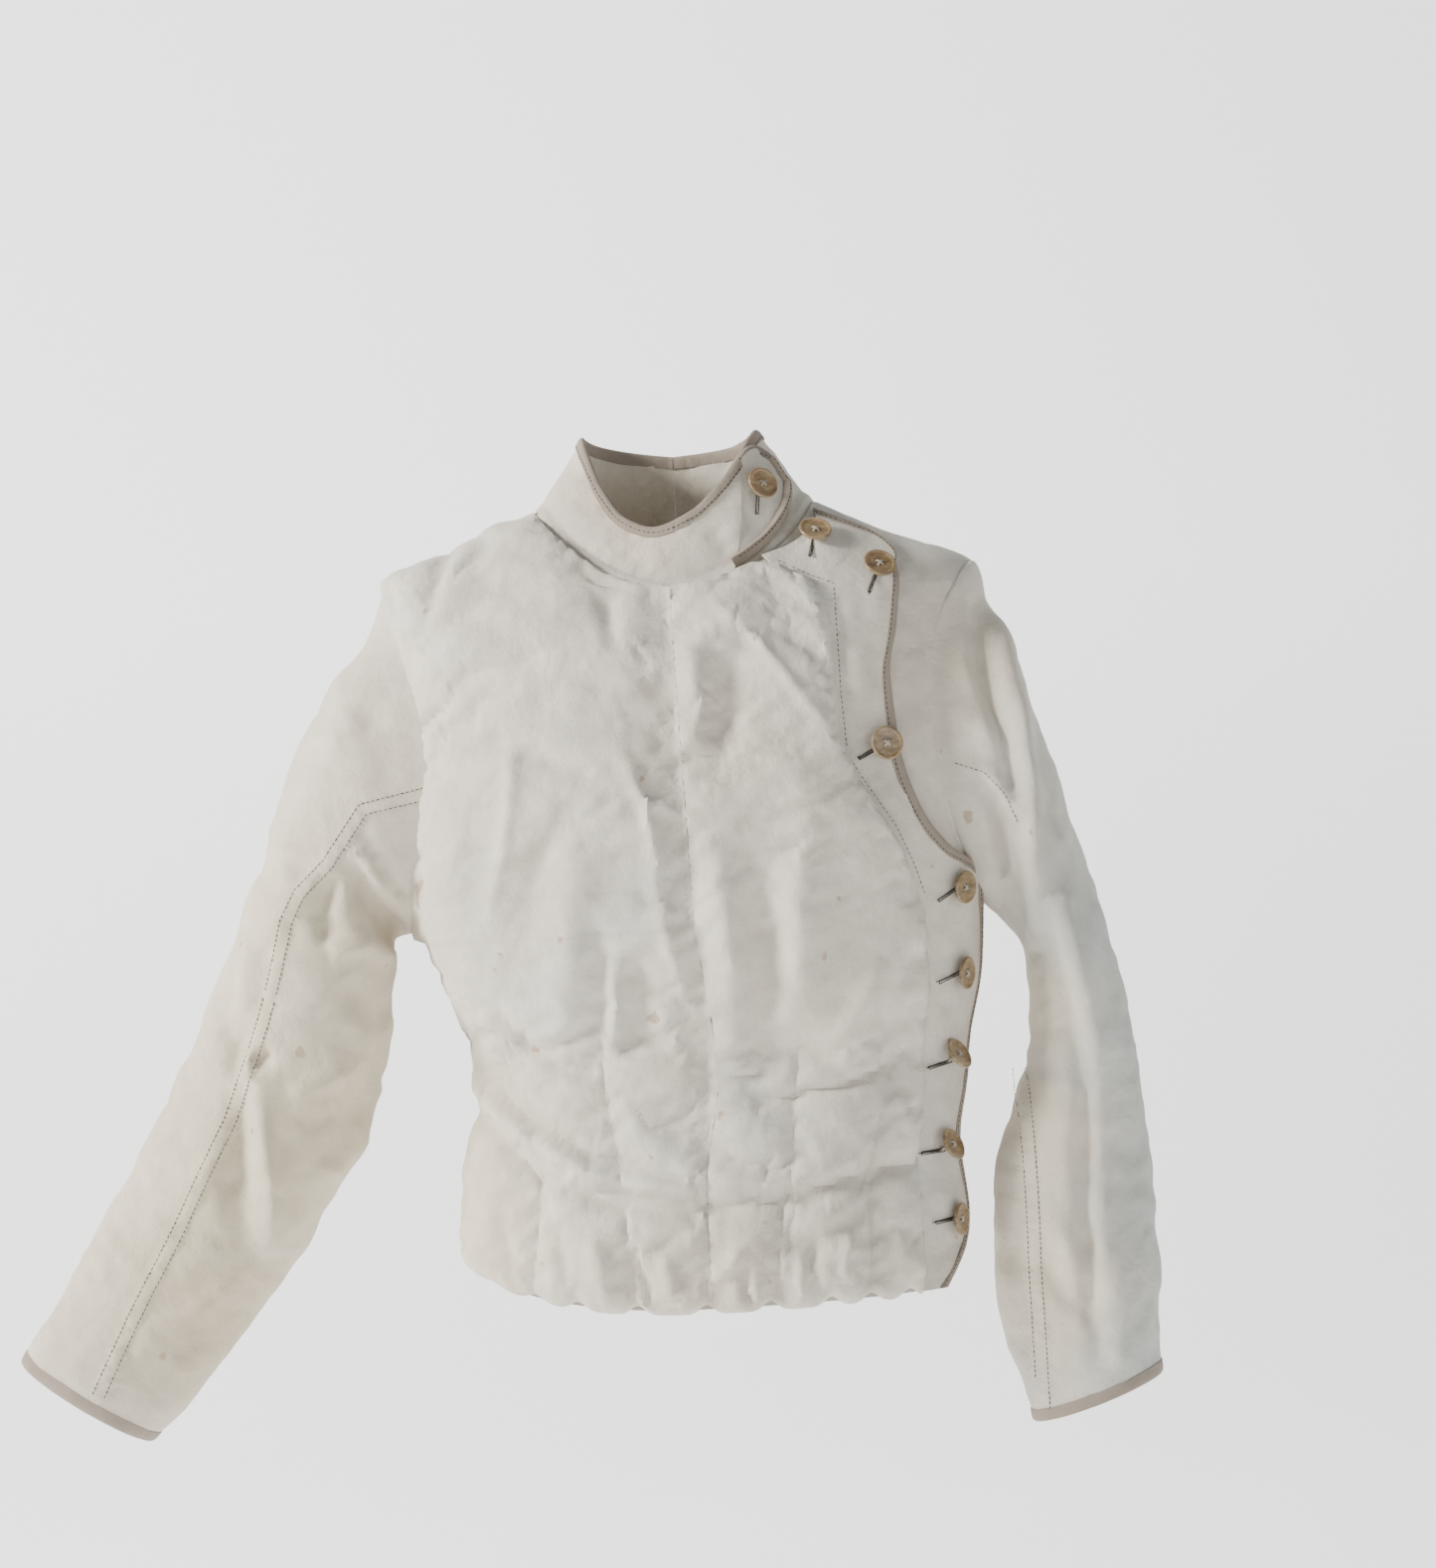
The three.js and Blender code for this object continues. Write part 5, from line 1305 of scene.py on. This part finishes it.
# %% Button maker
def button_frame(k):
    """Middle, and directions across, up and out, of a packed button."""
    co = np.array([v.co for v in frame["nodes"]["button_%d" % k].data.vertices], float)
    low, high = co.min(0), co.max(0)
    centre = co.mean(0)
    _, _, axes = np.linalg.svd(co - centre, full_matrices=False)
    thread_co = np.array([v.co for v in frame["nodes"]["button_%d_thread" % k].data.vertices], float)
    out = axes[2] * np.sign(axes[2] @ (centre - thread_co.mean(0)))
    heights = (co - centre) @ out
    centre = centre + out * (heights.max() + heights.min()) / 2
    spread = np.linalg.norm((co - centre) - ((co - centre) @ out)[:, None] * out, axis=1)
    x = np.cross([0, 0, 1], out)
    x /= np.linalg.norm(x)
    return centre, x, np.cross(out, x), out, spread.max() * 1000, (heights.max() - heights.min()) * 1000


PROFILE = [(0, -1.8), (6.5, -1.8), (9.2, -1.62), (10.6, -0.9), (11.4, 0.1), (11.5, 0.8), (11.35, 1.35), (10.9, 1.72),
           (10.3, 1.8), (9.7, 1.66), (9.2, 1.2), (8.9, 0.98), (8.2, 0.86), (5.0, 0.8), (3.6, 0.55),
           (1.4, 0.45), (0, 0.43)]


def turned_button(name, centre, x, y, out, radius, seed):
    """A lathed disc with four holes cut through it."""
    facets = 72
    rng = np.random.RandomState(seed)
    wobble = 1 + 0.004 * rng.randn()
    angles = np.arange(facets) / facets * 2 * math.pi
    points, rows = [], []
    for r, h in PROFILE:
        if r == 0:
            rows.append([len(points)])
            points.append((0, 0, h))
        else:
            rows.append(list(range(len(points), len(points) + facets)))
            points += [(r * wobble * math.cos(a), r * math.sin(a), h) for a in angles]
    faces = []
    for a, b in zip(rows[:-1], rows[1:]):
        for k in range(facets):
            n = (k + 1) % facets
            if len(a) == 1:
                faces.append((a[0], b[n], b[k]))
            elif len(b) == 1:
                faces.append((a[k], a[n], b[0]))
            else:
                faces.append((a[k], a[n], b[n], b[k]))
    mesh = bpy.data.meshes.new(name)
    mesh.from_pydata([tuple(c * radius / 11500 for c in p) for p in points], [], faces)
    disc = bpy.data.objects.new(name, mesh)
    bpy.context.scene.collection.objects.link(disc)
    cutters = []
    for k in range(4):
        a = math.radians(45 + 90 * k)
        bpy.ops.mesh.primitive_cylinder_add(vertices=20, radius=0.00095, depth=0.012,
                                            location=(0.0028 * math.cos(a), 0.0028 * math.sin(a), 0))
        cutters.append(bpy.context.object)
    for cutter in cutters:
        cut = disc.modifiers.new("hole", "BOOLEAN")
        cut.operation, cut.object, cut.solver = "DIFFERENCE", cutter, "EXACT"
    graph = bpy.context.evaluated_depsgraph_get()
    made = bpy.data.meshes.new_from_object(disc.evaluated_get(graph))
    disc.modifiers.clear()
    disc.data = made
    for cutter in cutters:
        bpy.data.objects.remove(cutter)
    place = Matrix.Identity(4)
    for column, axis in enumerate((x, y, out)):
        for row in range(3):
            place[row][column] = axis[row]
    for row in range(3):
        place[row][3] = centre[row]
    disc.data.transform(place)
    disc.data.shade_smooth()
    disc.data.set_sharp_from_angle(angle=math.radians(45))
    return disc


def tube(points, radius, sides=8):
    """A closed tube along a few points, as points and faces."""
    points = np.array(points, float)
    tangent = np.gradient(points, axis=0)
    tangent /= np.linalg.norm(tangent, axis=1, keepdims=True)
    ref = np.cross(tangent, [0.31, 0.87, 0.38])
    ref /= np.linalg.norm(ref, axis=1, keepdims=True)
    other = np.cross(tangent, ref)
    a = np.arange(sides) / sides * 2 * math.pi
    ring = points[:, None] + radius * (np.cos(a)[None, :, None] * ref[:, None]
                                       + np.sin(a)[None, :, None] * other[:, None])
    n = len(points)
    verts = np.concatenate([ring.reshape(-1, 3), points[:1], points[-1:]])
    faces = []
    for j in range(n - 1):
        for k in range(sides):
            faces.append((j * sides + k, j * sides + (k + 1) % sides, (j + 1) * sides + (k + 1) % sides,
                          (j + 1) * sides + k))
    for k in range(sides):
        faces.append((n * sides, (k + 1) % sides, k))
        faces.append((n * sides + 1, (n - 1) * sides + k, (n - 1) * sides + (k + 1) % sides))
    return verts, faces


def sewn_thread(name, k, centre, x, y, out, foot):
    """Crossed strands over the dish, down the holes, and a wound shank to the cloth."""
    verts, faces = [], []
    rng = np.random.RandomState(k)

    def add(points, radius, sides=8):
        v, f = tube(points, radius, sides)
        start = sum(len(q) for q in verts)
        verts.append(v)
        faces.extend([tuple(i + start for i in face) for face in f])

    def at(a, b, c):
        return centre + (x * a + y * b + out * c) / 1000

    corners = [(2.0 * sx, 2.0 * sy) for sx, sy in ((1, 1), (-1, 1), (-1, -1), (1, -1))]
    for (ax, ay), (bx, by) in ((corners[0], corners[2]), (corners[1], corners[3])):
        for offset in (-0.35, 0.35):
            nx, ny = -(by - ay) / 5.66 * offset, (bx - ax) / 5.66 * offset
            path = [at(ax + nx, ay + ny, -1.5), at(ax + nx, ay + ny, 0.5), 
                    at(ax * 0.8 + nx, ay * 0.8 + ny, 1.15 + 0.1 * rng.rand()),
                    at(nx, ny, 1.45 + 0.3 * rng.rand()), at(bx * 0.8 + nx, by * 0.8 + ny, 1.15),
                    at(bx + nx, by + ny, 0.5), at(bx + nx, by + ny, -1.5)]
            add(path, 0.00042)
    turns = np.linspace(0, 6 * 2 * math.pi, 70)
    drop = np.linspace(-1.9, foot, 70)
    add([at(1.0 * math.cos(t), 1.0 * math.sin(t), d) for t, d in zip(turns, drop)], 0.0005, 6)
    add([at(0, 0, -1.0), at(0, 0, foot / 2), at(0, 0, foot)], 0.00095)
    mesh = bpy.data.meshes.new(name)
    mesh.from_pydata(np.concatenate(verts).tolist(), [], faces)
    shade = mesh.color_attributes.new(name="tone", type="FLOAT_COLOR", domain="POINT")
    shade.data.foreach_set("color", np.ones(len(mesh.vertices) * 4, np.float32))
    mesh.shade_smooth()
    piece = bpy.data.objects.new(name, mesh)
    bpy.context.scene.collection.objects.link(piece)
    return piece


buttons, button_threads = [], []
for k in range(1, 10):
    centre, x, y, out, radius, thick = button_frame(k)
    sewn = np.array([v.co for v in frame["nodes"]["button_%d_thread" % k].data.vertices], float)
    foot = float(((sewn - centre) @ out).min()) * 1000
    buttons.append(turned_button("horn_button_%d" % k, centre, x, y, out, radius, k))
    button_threads.append(sewn_thread("button_thread_%d" % k, k, centre, x, y, out, foot))
print("buttons: radius %.2f mm, %.2f mm thick, foot %.1f mm" % (radius, thick, foot))

# %% [markdown]
# ## Buttonholes
# Each hole is a slit from just past the shank to beyond the button's rim on the pad's side. It is cut with a
# thin box and a Boolean, which leaves the cloth closed, and its edge gets dense buttonhole stitches later.

# %% Slits in the band and the tab
BUTTON_PLACES = [(0.022, 0.42), (0.198, 0.54), (0.458, 0.66), (0.656, 0.5), (0.74, 0.38), (0.818, 0.38),
                 (0.884, 0.42), (0.938, 0.46)]


def axes_at(surface, u, v, toward, outside):
    here = surface(u, v)
    n = surface_normals(surface, np.array([u]), np.array([v]), outside)[0]
    x = toward - here
    x -= n * (x @ n)
    x /= np.linalg.norm(x)
    return here, x, np.cross(n, x), n


def slit(target, here, x, y, n):
    bpy.ops.mesh.primitive_cube_add(size=1)
    cutter = bpy.context.object
    size = np.array([24.0, 1.0, 16.0])
    middle = here + x * (3.0 - 12.0) + n * 3
    place = Matrix.Identity(4)
    for column, (axis, s) in enumerate(zip((x, y, n), size)):
        for row in range(3):
            place[row][column] = axis[row] * s / 1000
    for row in range(3):
        place[row][3] = float(to_frame(middle)[row])
    cutter.data.transform(place)
    cut = target.modifiers.new("slit", "BOOLEAN")
    cut.operation, cut.object, cut.solver = "DIFFERENCE", cutter, "EXACT"
    return cutter


def apply_all(target, cutters):
    made = bpy.data.meshes.new_from_object(target.evaluated_get(bpy.context.evaluated_depsgraph_get()))
    target.modifiers.clear()
    target.data = made
    for cutter in cutters:
        bpy.data.objects.remove(cutter)


hole_frames = [axes_at(band_point, a, b, band_point(a, 1.0), from_axis) for a, b in BUTTON_PLACES]
apply_all(band, [slit(band, *f) for f in hole_frames])
here = tab_point(0.36, 0.58)
toward = tab_point(0.56, 0.74)
n = np.cross(toward - here, tab_point(0.36, 0.68) - here)
n /= np.linalg.norm(n)
n *= np.sign(n @ np.array([here[0], here[1], 0]))
x = toward - here
x -= n * (x @ n)
x /= np.linalg.norm(x)
tab_hole = (here, x, np.cross(n, x), n)
apply_all(collar_tab, [slit(collar_tab, *tab_hole)])
print("slits cut:", len(hole_frames) + 1)

# %% [markdown]
# ## Stitches
# Hundreds of stitches follow the seams, so Geometry Nodes makes them: a path is resampled at the stitch
# length, a small thread capsule is set on each point and turned along the path, and the instances are made
# real. One tree serves every path. Each path's result becomes a plain mesh, fixed to a body when its cloth is.

# %% The stitch tree
def stitch_tree(material):
    tree = bpy.data.node_groups.new("stitch_row_" + material.name, "GeometryNodeTree")
    face = tree.interface
    face.new_socket("Path", in_out="INPUT", socket_type="NodeSocketGeometry")
    sizes = {}
    for label, value in (("Stitch length", 0.0026), ("Gap", 0.0009), ("Thread radius", 0.0003), ("Uneven", 0.12)):
        socket = face.new_socket(label, in_out="INPUT", socket_type="NodeSocketFloat")
        socket.default_value = value
        sizes[label] = socket.identifier
    face.new_socket("Stitches", in_out="OUTPUT", socket_type="NodeSocketGeometry")
    nodes, links = tree.nodes, tree.links
    start, end = nodes.new("NodeGroupInput"), nodes.new("NodeGroupOutput")
    pitch = nodes.new("ShaderNodeMath")
    links.new(start.outputs["Stitch length"], pitch.inputs[0])
    links.new(start.outputs["Gap"], pitch.inputs[1])
    to_curve = nodes.new("GeometryNodeMeshToCurve")
    links.new(start.outputs["Path"], to_curve.inputs[0])
    again = nodes.new("GeometryNodeResampleCurve")
    again.mode = "LENGTH"
    links.new(to_curve.outputs[0], again.inputs["Curve"])
    links.new(pitch.outputs[0], again.inputs["Length"])
    capsule = nodes.new("GeometryNodeMeshUVSphere")
    capsule.inputs["Segments"].default_value = 6
    capsule.inputs["Rings"].default_value = 5
    capsule.inputs["Radius"].default_value = 1.0
    size = nodes.new("ShaderNodeCombineXYZ")
    half = nodes.new("ShaderNodeMath")
    half.operation = "MULTIPLY"
    half.inputs[1].default_value = 0.5
    links.new(start.outputs["Stitch length"], half.inputs[0])
    links.new(start.outputs["Thread radius"], size.inputs[0])
    links.new(start.outputs["Thread radius"], size.inputs[1])
    links.new(half.outputs[0], size.inputs[2])
    shape = nodes.new("GeometryNodeTransform")
    links.new(capsule.outputs["Mesh"], shape.inputs["Geometry"])
    links.new(size.outputs[0], shape.inputs["Scale"])
    along = nodes.new("GeometryNodeInputTangent")
    align = nodes.new("FunctionNodeAlignRotationToVector")
    align.axis = "Z"
    links.new(along.outputs[0], align.inputs["Vector"])
    vary = nodes.new("FunctionNodeRandomValue")
    vary.data_type = "FLOAT"
    vary.inputs[2].default_value = 0.88
    vary.inputs[3].default_value = 1.12
    vary.inputs["Seed"].default_value = 7
    place = nodes.new("GeometryNodeInstanceOnPoints")
    links.new(again.outputs[0], place.inputs["Points"])
    links.new(shape.outputs[0], place.inputs["Instance"])
    links.new(align.outputs[0], place.inputs["Rotation"])
    links.new(vary.outputs[1], place.inputs["Scale"])
    real = nodes.new("GeometryNodeRealizeInstances")
    links.new(place.outputs[0], real.inputs[0])
    finish = nodes.new("GeometryNodeSetMaterial")
    finish.inputs["Material"].default_value = material
    links.new(real.outputs[0], finish.inputs[0])
    links.new(finish.outputs[0], end.inputs[0])
    return tree, sizes


TREES = {m.name: stitch_tree(m) for m in (thread, dark_thread)}


def stitch_rows(name, paths, material=thread, length=2.6, gap=0.9, radius=0.3):
    """Stitches along one or more paths of points in millimetres, as one plain mesh."""
    verts, edges = [], []
    for path in paths:
        first = len(verts)
        verts += to_frame(path).tolist()
        edges += [(first + k, first + k + 1) for k in range(len(path) - 1)]
    mesh = bpy.data.meshes.new(name)
    mesh.from_pydata(verts, edges, [])
    rows = bpy.data.objects.new(name, mesh)
    bpy.context.scene.collection.objects.link(rows)
    tree, sizes = TREES[material.name]
    made = rows.modifiers.new("stitches", "NODES")
    made.node_group = tree
    for label, value in (("Stitch length", length), ("Gap", gap), ("Thread radius", radius)):
        made[sizes[label]] = value / 1000
    plain = bpy.data.meshes.new_from_object(rows.evaluated_get(bpy.context.evaluated_depsgraph_get()))
    rows.modifiers.clear()
    rows.data = plain
    if not plain.materials:
        plain.materials.append(material)
    return rows


def over_cloth(line, grid, proud=0.25, step=2.0):
    """A path over a piece's outer grid, for a line of places across and up."""
    line = np.array(line, float)
    lengths = np.concatenate([[0], np.cumsum(np.linalg.norm(np.diff(line, axis=0), axis=1))])
    s = np.arange(0, lengths[-1], step)
    flat = np.stack([np.interp(s, lengths, line[:, 0]), np.interp(s, lengths, line[:, 1])], -1)
    points = grid.reshape(-1, 3)
    points = points[points[:, 1] < -10]
    path = []
    for q in flat:
        d = np.linalg.norm(points[:, [0, 2]] - q, axis=1)
        near = np.argsort(d)[:4]
        w = 1 / (d[near] + 0.3)
        path.append([q[0], (points[near, 1] * w).sum() / w.sum() - proud, q[1]])
    return np.array(path)


def beside(line, gap):
    """A line moved sideways."""
    line = np.array(line, float)
    t = np.gradient(line, axis=0)
    t /= np.linalg.norm(t, axis=1, keepdims=True)
    return line + gap * np.stack([-t[:, 1], t[:, 0]], -1)


# %% Rows of stitches
along = np.linspace(0.003, 0.997, 700)
n = surface_normals(band_point, along, np.full(along.shape, 0.9), from_axis)
inset = 1 - 6.9 / np.linalg.norm(band_point(along, 1.0) - band_point(along, 0.0), axis=-1)
band_stitches = stitch_rows("closing_tape_stitches", [band_point(along, inset) + n * 5.75])
PLACKET = [(106, -66), (106, -139), (108, -180)]
LOW_PLACKET = [(108, -180), (122, -204), (138, -229), (149, -255), (156, -278)]
placket = stitch_rows("placket_stitches", [over_cloth(PLACKET, band_outer), over_cloth(LOW_PLACKET, band_outer),
                                           over_cloth([(70, -44), (90, -55), (106, -62)], band_outer)],
                      thread, 2.4, 1.2, 0.28)


def collar_row(angles, height, lift):
    n = surface_normals(collar_point, angles, height + 0 * angles, from_middle)
    return collar_point(angles, height) + n * lift


main_stitches = stitch_rows("collar_main_stitches", [collar_row(np.linspace(91, 269, 320), 0.885, 4.35),
                                                     collar_row(np.linspace(92, 269, 320), 0.045, 4.6)])
front_stitches = stitch_rows("collar_front_stitches", [collar_row(np.linspace(45.5, 90.8, 90), 0.885, 4.35),
                                                       collar_row(np.linspace(67, 90.8, 60), 0.045, 4.6)])
angles = np.linspace(271, 440, 320)
under_stitches = stitch_rows("collar_underlap_stitches", [
    collar_row(angles, 0.885, 4.35 - underlap_step(angles[:, None]))])
tab_path = smooth_edge[6:-6] + tab_in[6:-6] * 6.6 + tab_out[6:-6] * 4.45
tab_stitches = stitch_rows("collar_tab_stitches", [tab_path])


def edge_of_slit(frame_, lift, length=24.0, half=1.0, start=3.0):
    here, x, y, n = frame_
    a = np.concatenate([np.linspace(start, start - length, 30), np.full(5, start - length),
                        np.linspace(start - length, start, 30), np.full(5, start)])
    b = np.concatenate([np.full(30, half), np.linspace(half, -half, 5),
                        np.full(30, -half), np.linspace(-half, half, 5)])
    return here + x * a[:, None] + y * b[:, None] + n * lift


hole_stitches = stitch_rows("buttonhole_stitches", [edge_of_slit(f, 5.2) for f in hole_frames],
                            dark_thread, 1.5, -0.7, 0.38)
tab_hole_stitches = stitch_rows("tab_buttonhole_stitches", [edge_of_slit(tab_hole, 4.0)], dark_thread, 1.5, -0.7, 0.38)
left_rows = [over_cloth(beside(LEFT_SEAM, d), sleeves["left"]["outer"]) for d in (-4.2, 4.2)]
left_lower_stitches = stitch_rows("left_sleeve_seam_stitches", [row[row[:, 2] < -405] for row in left_rows])
right_rows = [over_cloth(beside(RIGHT_SEAM, d), sleeves["right"]["outer"]) for d in (-4.2, 4.2)]
plane = [0.504 * -row[:, 0] - 0.864 * row[:, 2] for row in right_rows]
right_upper_stitches = stitch_rows("right_upper_seam_stitches", [row[p < 426] for row, p in zip(right_rows, plane)])
right_lower_stitches = stitch_rows("right_lower_seam_stitches", [row[p > 432] for row, p in zip(right_rows, plane)])
gusset_row = stitch_rows("left_gusset_stitches", [over_cloth(LEFT_GUSSET, sleeves["left"]["outer"])])

# %% Hanging loop
t = np.linspace(-1, 1, 40)
loop_low, loop_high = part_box("hanging_loop")
half = (loop_high.x - loop_low.x) / 2 * 1000 - 1
drop = (loop_high.z - loop_low.z) * 1000
middle = np.array([(loop_low.x + loop_high.x) / 2, (loop_low.y + loop_high.y) / 2, loop_high.z]) * 1000 - SHIFT
line = middle + np.stack([half * t, 0.6 * t * 0, -(drop - 6.5) * (1 - t * t) ** 0.7 - 3.2], -1)
face = np.repeat(line[:, None], 7, 1)
face[..., 2] += np.linspace(3, -3, 7)[None]
face[..., 1] += 0.25 * np.sin(np.linspace(0, math.pi, 7))[None]
loop = cloth_solid("hanging_loop_tape", face + [0, 0.55, 0], face - [0, 0.55, 0])
print("loop %.0f mm wide" % (2 * half))

# %% [markdown]
# ## Finishing the pieces and fixing them to bodies
# Every piece gets its material, and the model's parts that it stands in for are hidden. A piece that lies on
# one body is parented to it. A cloth that crosses a hinge has its place written into its mesh and is not
# parented. Each cloth solid carries its width, length and area as properties.

# %% Materials on pieces
def dress(material, *pieces):
    for piece in pieces:
        piece.data.materials.clear()
        piece.data.materials.append(material)


upper_lower = [sleeves[s][part] for s in ("left", "right") for part in ("upper", "lower")]
dress(drill, right_front, overlap, band, collar_main, collar_under, collar_front, collar_tab, under_front,
      back_right, back_left, right_side, left_side, *upper_lower)
dress(lining, right_lining, overlap_lining, under_lining)
dress(tape, closing_tape, collar_main_tape, collar_under_tape, collar_front_tape, collar_tab_tape, facing_right,
      facing_overlap, facing_under, facing_back, loop, sleeves["left"]["cuff"], sleeves["right"]["cuff"])
dress(horn, *buttons)
dress(thread, *button_threads)

# %% Riding on bodies
def world(x, y, z):
    return tuple(float(q) for q in to_frame([x, y, z]))


def own(piece, body, slot, *nodes, between=None, start=None, end=None):
    if between:
        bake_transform(piece)
    else:
        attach(piece, body)
    if nodes:
        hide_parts(*nodes)


FRONT_HINGE = dict(between=("jacket_body", "overlap_front"), start=(-3, -100, -200), end=(42, -100, -200))
for piece, slot, nodes in (
        (right_front, "drill", ("right_front_shell", "right_front_wadding")),
        (right_lining, "lining", ("right_front_lining",)),
        (facing_right, "tape", ("right_front_hem_binding",)), (under_front, "drill", ("left_underfront_shell",)),
        (under_lining, "lining", ("left_underfront_lining",)), (facing_under, "tape", ("left_underfront_hem_binding",)),
        (back_right, "drill", ("back_right",)), (back_left, "drill", ("back_left",)),
        (right_side, "drill", ("right_side",)), (left_side, "drill", ("left_side",)),
        (facing_back, "tape", ("back_hem_binding",)), (collar_main, "drill", ("collar_right",)),
        (collar_main_tape, "tape", ("collar_right_binding",)), (collar_under, "drill", ("collar_underlap",)),
        (collar_under_tape, "tape", ("collar_underlap_binding",)), (loop, "tape", ("hanging_loop",)),
        (main_stitches, "thread", ()), (under_stitches, "thread", ())):
    own(piece, "jacket_body", slot, *nodes)
for piece, slot, nodes in (
        (overlap, "drill", ("overlap_front_shell", "overlap_front_wadding")),
        (overlap_lining, "lining", ("overlap_front_lining",)),
        (facing_overlap, "tape", ("overlap_hem_binding",)), (collar_front, "drill", ("collar_front",)),
        (collar_front_tape, "tape", ("collar_front_binding",)), (front_stitches, "thread", ())):
    own(piece, None, slot, *nodes, **FRONT_HINGE)
for piece, slot, nodes in ((band, "drill", ("button_band",)), (closing_tape, "tape", ("closing_edge_binding",)),
                           (band_stitches, "thread", ()), (placket, "thread", ()), (hole_stitches, "thread", ())):
    own(piece, "overlap_front", slot, *nodes)
TAB_ROOT = dict(between=("overlap_front", "collar_tab"), start=(38, -62, 0), end=(56, -50, 0))
for piece, slot, nodes in ((collar_tab, "drill", ("collar_tab",)), (collar_tab_tape, "tape", ("collar_tab_binding",)),
                           (tab_stitches, "thread", ()), (tab_hole_stitches, "thread", ())):
    own(piece, None, slot, *nodes, **TAB_ROOT)
for k in range(9):
    own(buttons[k], "button_%d" % (k + 1), "horn", "button_%d" % (k + 1))
    own(button_threads[k], "button_%d" % (k + 1), "thread", "button_%d_thread" % (k + 1))
for name, side, far in (("left", 1, 62), ("right", -1, 70)):
    parts = sleeves[name]
    lean = np.array([1, -0.35]) / (1 + 0.35 ** 2)
    lift = dict(between=("jacket_body", name + "_sleeve"),
                start=(side * 304 * lean[0], -60, 304 * lean[1]),
                end=(side * (304 + far) * lean[0], -60, (304 + far) * lean[1]))
    own(parts["upper"], None, "drill", name + "_top_sleeve", name + "_under_sleeve", name + "_gusset", **lift)
    down = (0.25, -0.97, 408, 498) if name == "left" else (0.504, -0.864, 430, 530)
    bend = dict(between=(name + "_sleeve", name + "_forearm"), start=(side * down[0] * down[2], -60, down[1] * down[2]),
                end=(side * down[0] * down[3], -60, down[1] * down[3]))
    own(parts["lower"], None, "drill", name + "_top_forearm", name + "_under_forearm", **bend)
    own(parts["cuff"], name + "_forearm", "tape", name + "_cuff_binding")
    if name == "left":
        own(left_lower_stitches, None, "thread", **bend)
        own(gusset_row, None, "thread", **lift)
    else:
        own(right_upper_stitches, None, "thread", **lift)
        own(right_lower_stitches, None, "thread", **bend)

# %% Cloth sizes
for piece in (band, collar_main, collar_under, collar_front, collar_tab):
    half = sum(p.area for p in piece.data.polygons) / 2

# %% [markdown]
# ## Camera, light and floor
# The camera looks level at the front from about two metres, with a slight roll because the jacket hangs
# askew. One large soft light from the upper left gives the folds their shape, and a weak cool one fills the
# right. The floor curves up into a plain pale wall.

# %% Camera
camera = bpy.data.objects.new("camera", bpy.data.cameras.new("camera"))
bpy.context.scene.collection.objects.link(camera)
distance, view_height = 2.4, 1.073
camera.data.sensor_width = 36
camera.data.lens = 36 * distance / view_height
target = Vector((0.019, -0.13, -0.164))
camera.location = target + Vector((0.0, -distance, 0.0))
camera.rotation_euler = (math.radians(90), math.radians(3.3), 0)
bpy.context.scene.camera = camera
print("lens %.0f mm at %.1f m" % (camera.data.lens, distance))


# %% Lights, floor and wall
def soft_light(name, place, aim, size, power, colour):
    light = bpy.data.objects.new(name, bpy.data.lights.new(name, "AREA"))
    light.data.shape, light.data.size, light.data.energy, light.data.color = "DISK", size, power, colour
    light.location = place
    light.rotation_euler = (Vector(aim) - Vector(place)).to_track_quat("-Z", "Y").to_euler()
    bpy.context.scene.collection.objects.link(light)


middle = (0, -0.1, -0.25)
soft_light("window", (-2.5, -0.95, 1.1), middle, 0.8, 200, (1.0, 0.985, 0.96))
soft_light("fill", (2.0, -2.0, 0.0), middle, 2.0, 14, (0.82, 0.91, 1.0))
room = bpy.data.worlds.new("pale_room")
room.use_nodes = True
room.node_tree.nodes["Background"].inputs["Color"].default_value = (0.95, 0.97, 1.0, 1)
room.node_tree.nodes["Background"].inputs["Strength"].default_value = 0.24
bpy.context.scene.world = room
profile = [(-14.0, -0.9), (1.0, -0.9)] + [
    (1.0 + 1.0 * math.sin(a), 0.1 - 1.0 * math.cos(a)) for a in np.linspace(0.1, math.pi / 2, 14)] + [(2.0, 3.5)]
verts = [(x, y, z) for x in (-14.0, 14.0) for y, z in profile]
count = len(profile)
backdrop = bpy.data.meshes.new("backdrop")
backdrop.from_pydata(verts, [], [(k, k + count, k + count + 1, k + 1) for k in range(count - 1)])
backdrop.shade_smooth()
floor = bpy.data.objects.new("backdrop", backdrop)
bpy.context.scene.collection.objects.link(floor)
paper, tree, shader = new_material("pale_paper")
shader.inputs["Base Color"].default_value = (0.9, 0.9, 0.9, 1)
shader.inputs["Roughness"].default_value = 0.95
shader.inputs["Emission Color"].default_value = (1, 1, 1, 1)
shader.inputs["Emission Strength"].default_value = 0.85
backdrop.materials.append(paper)
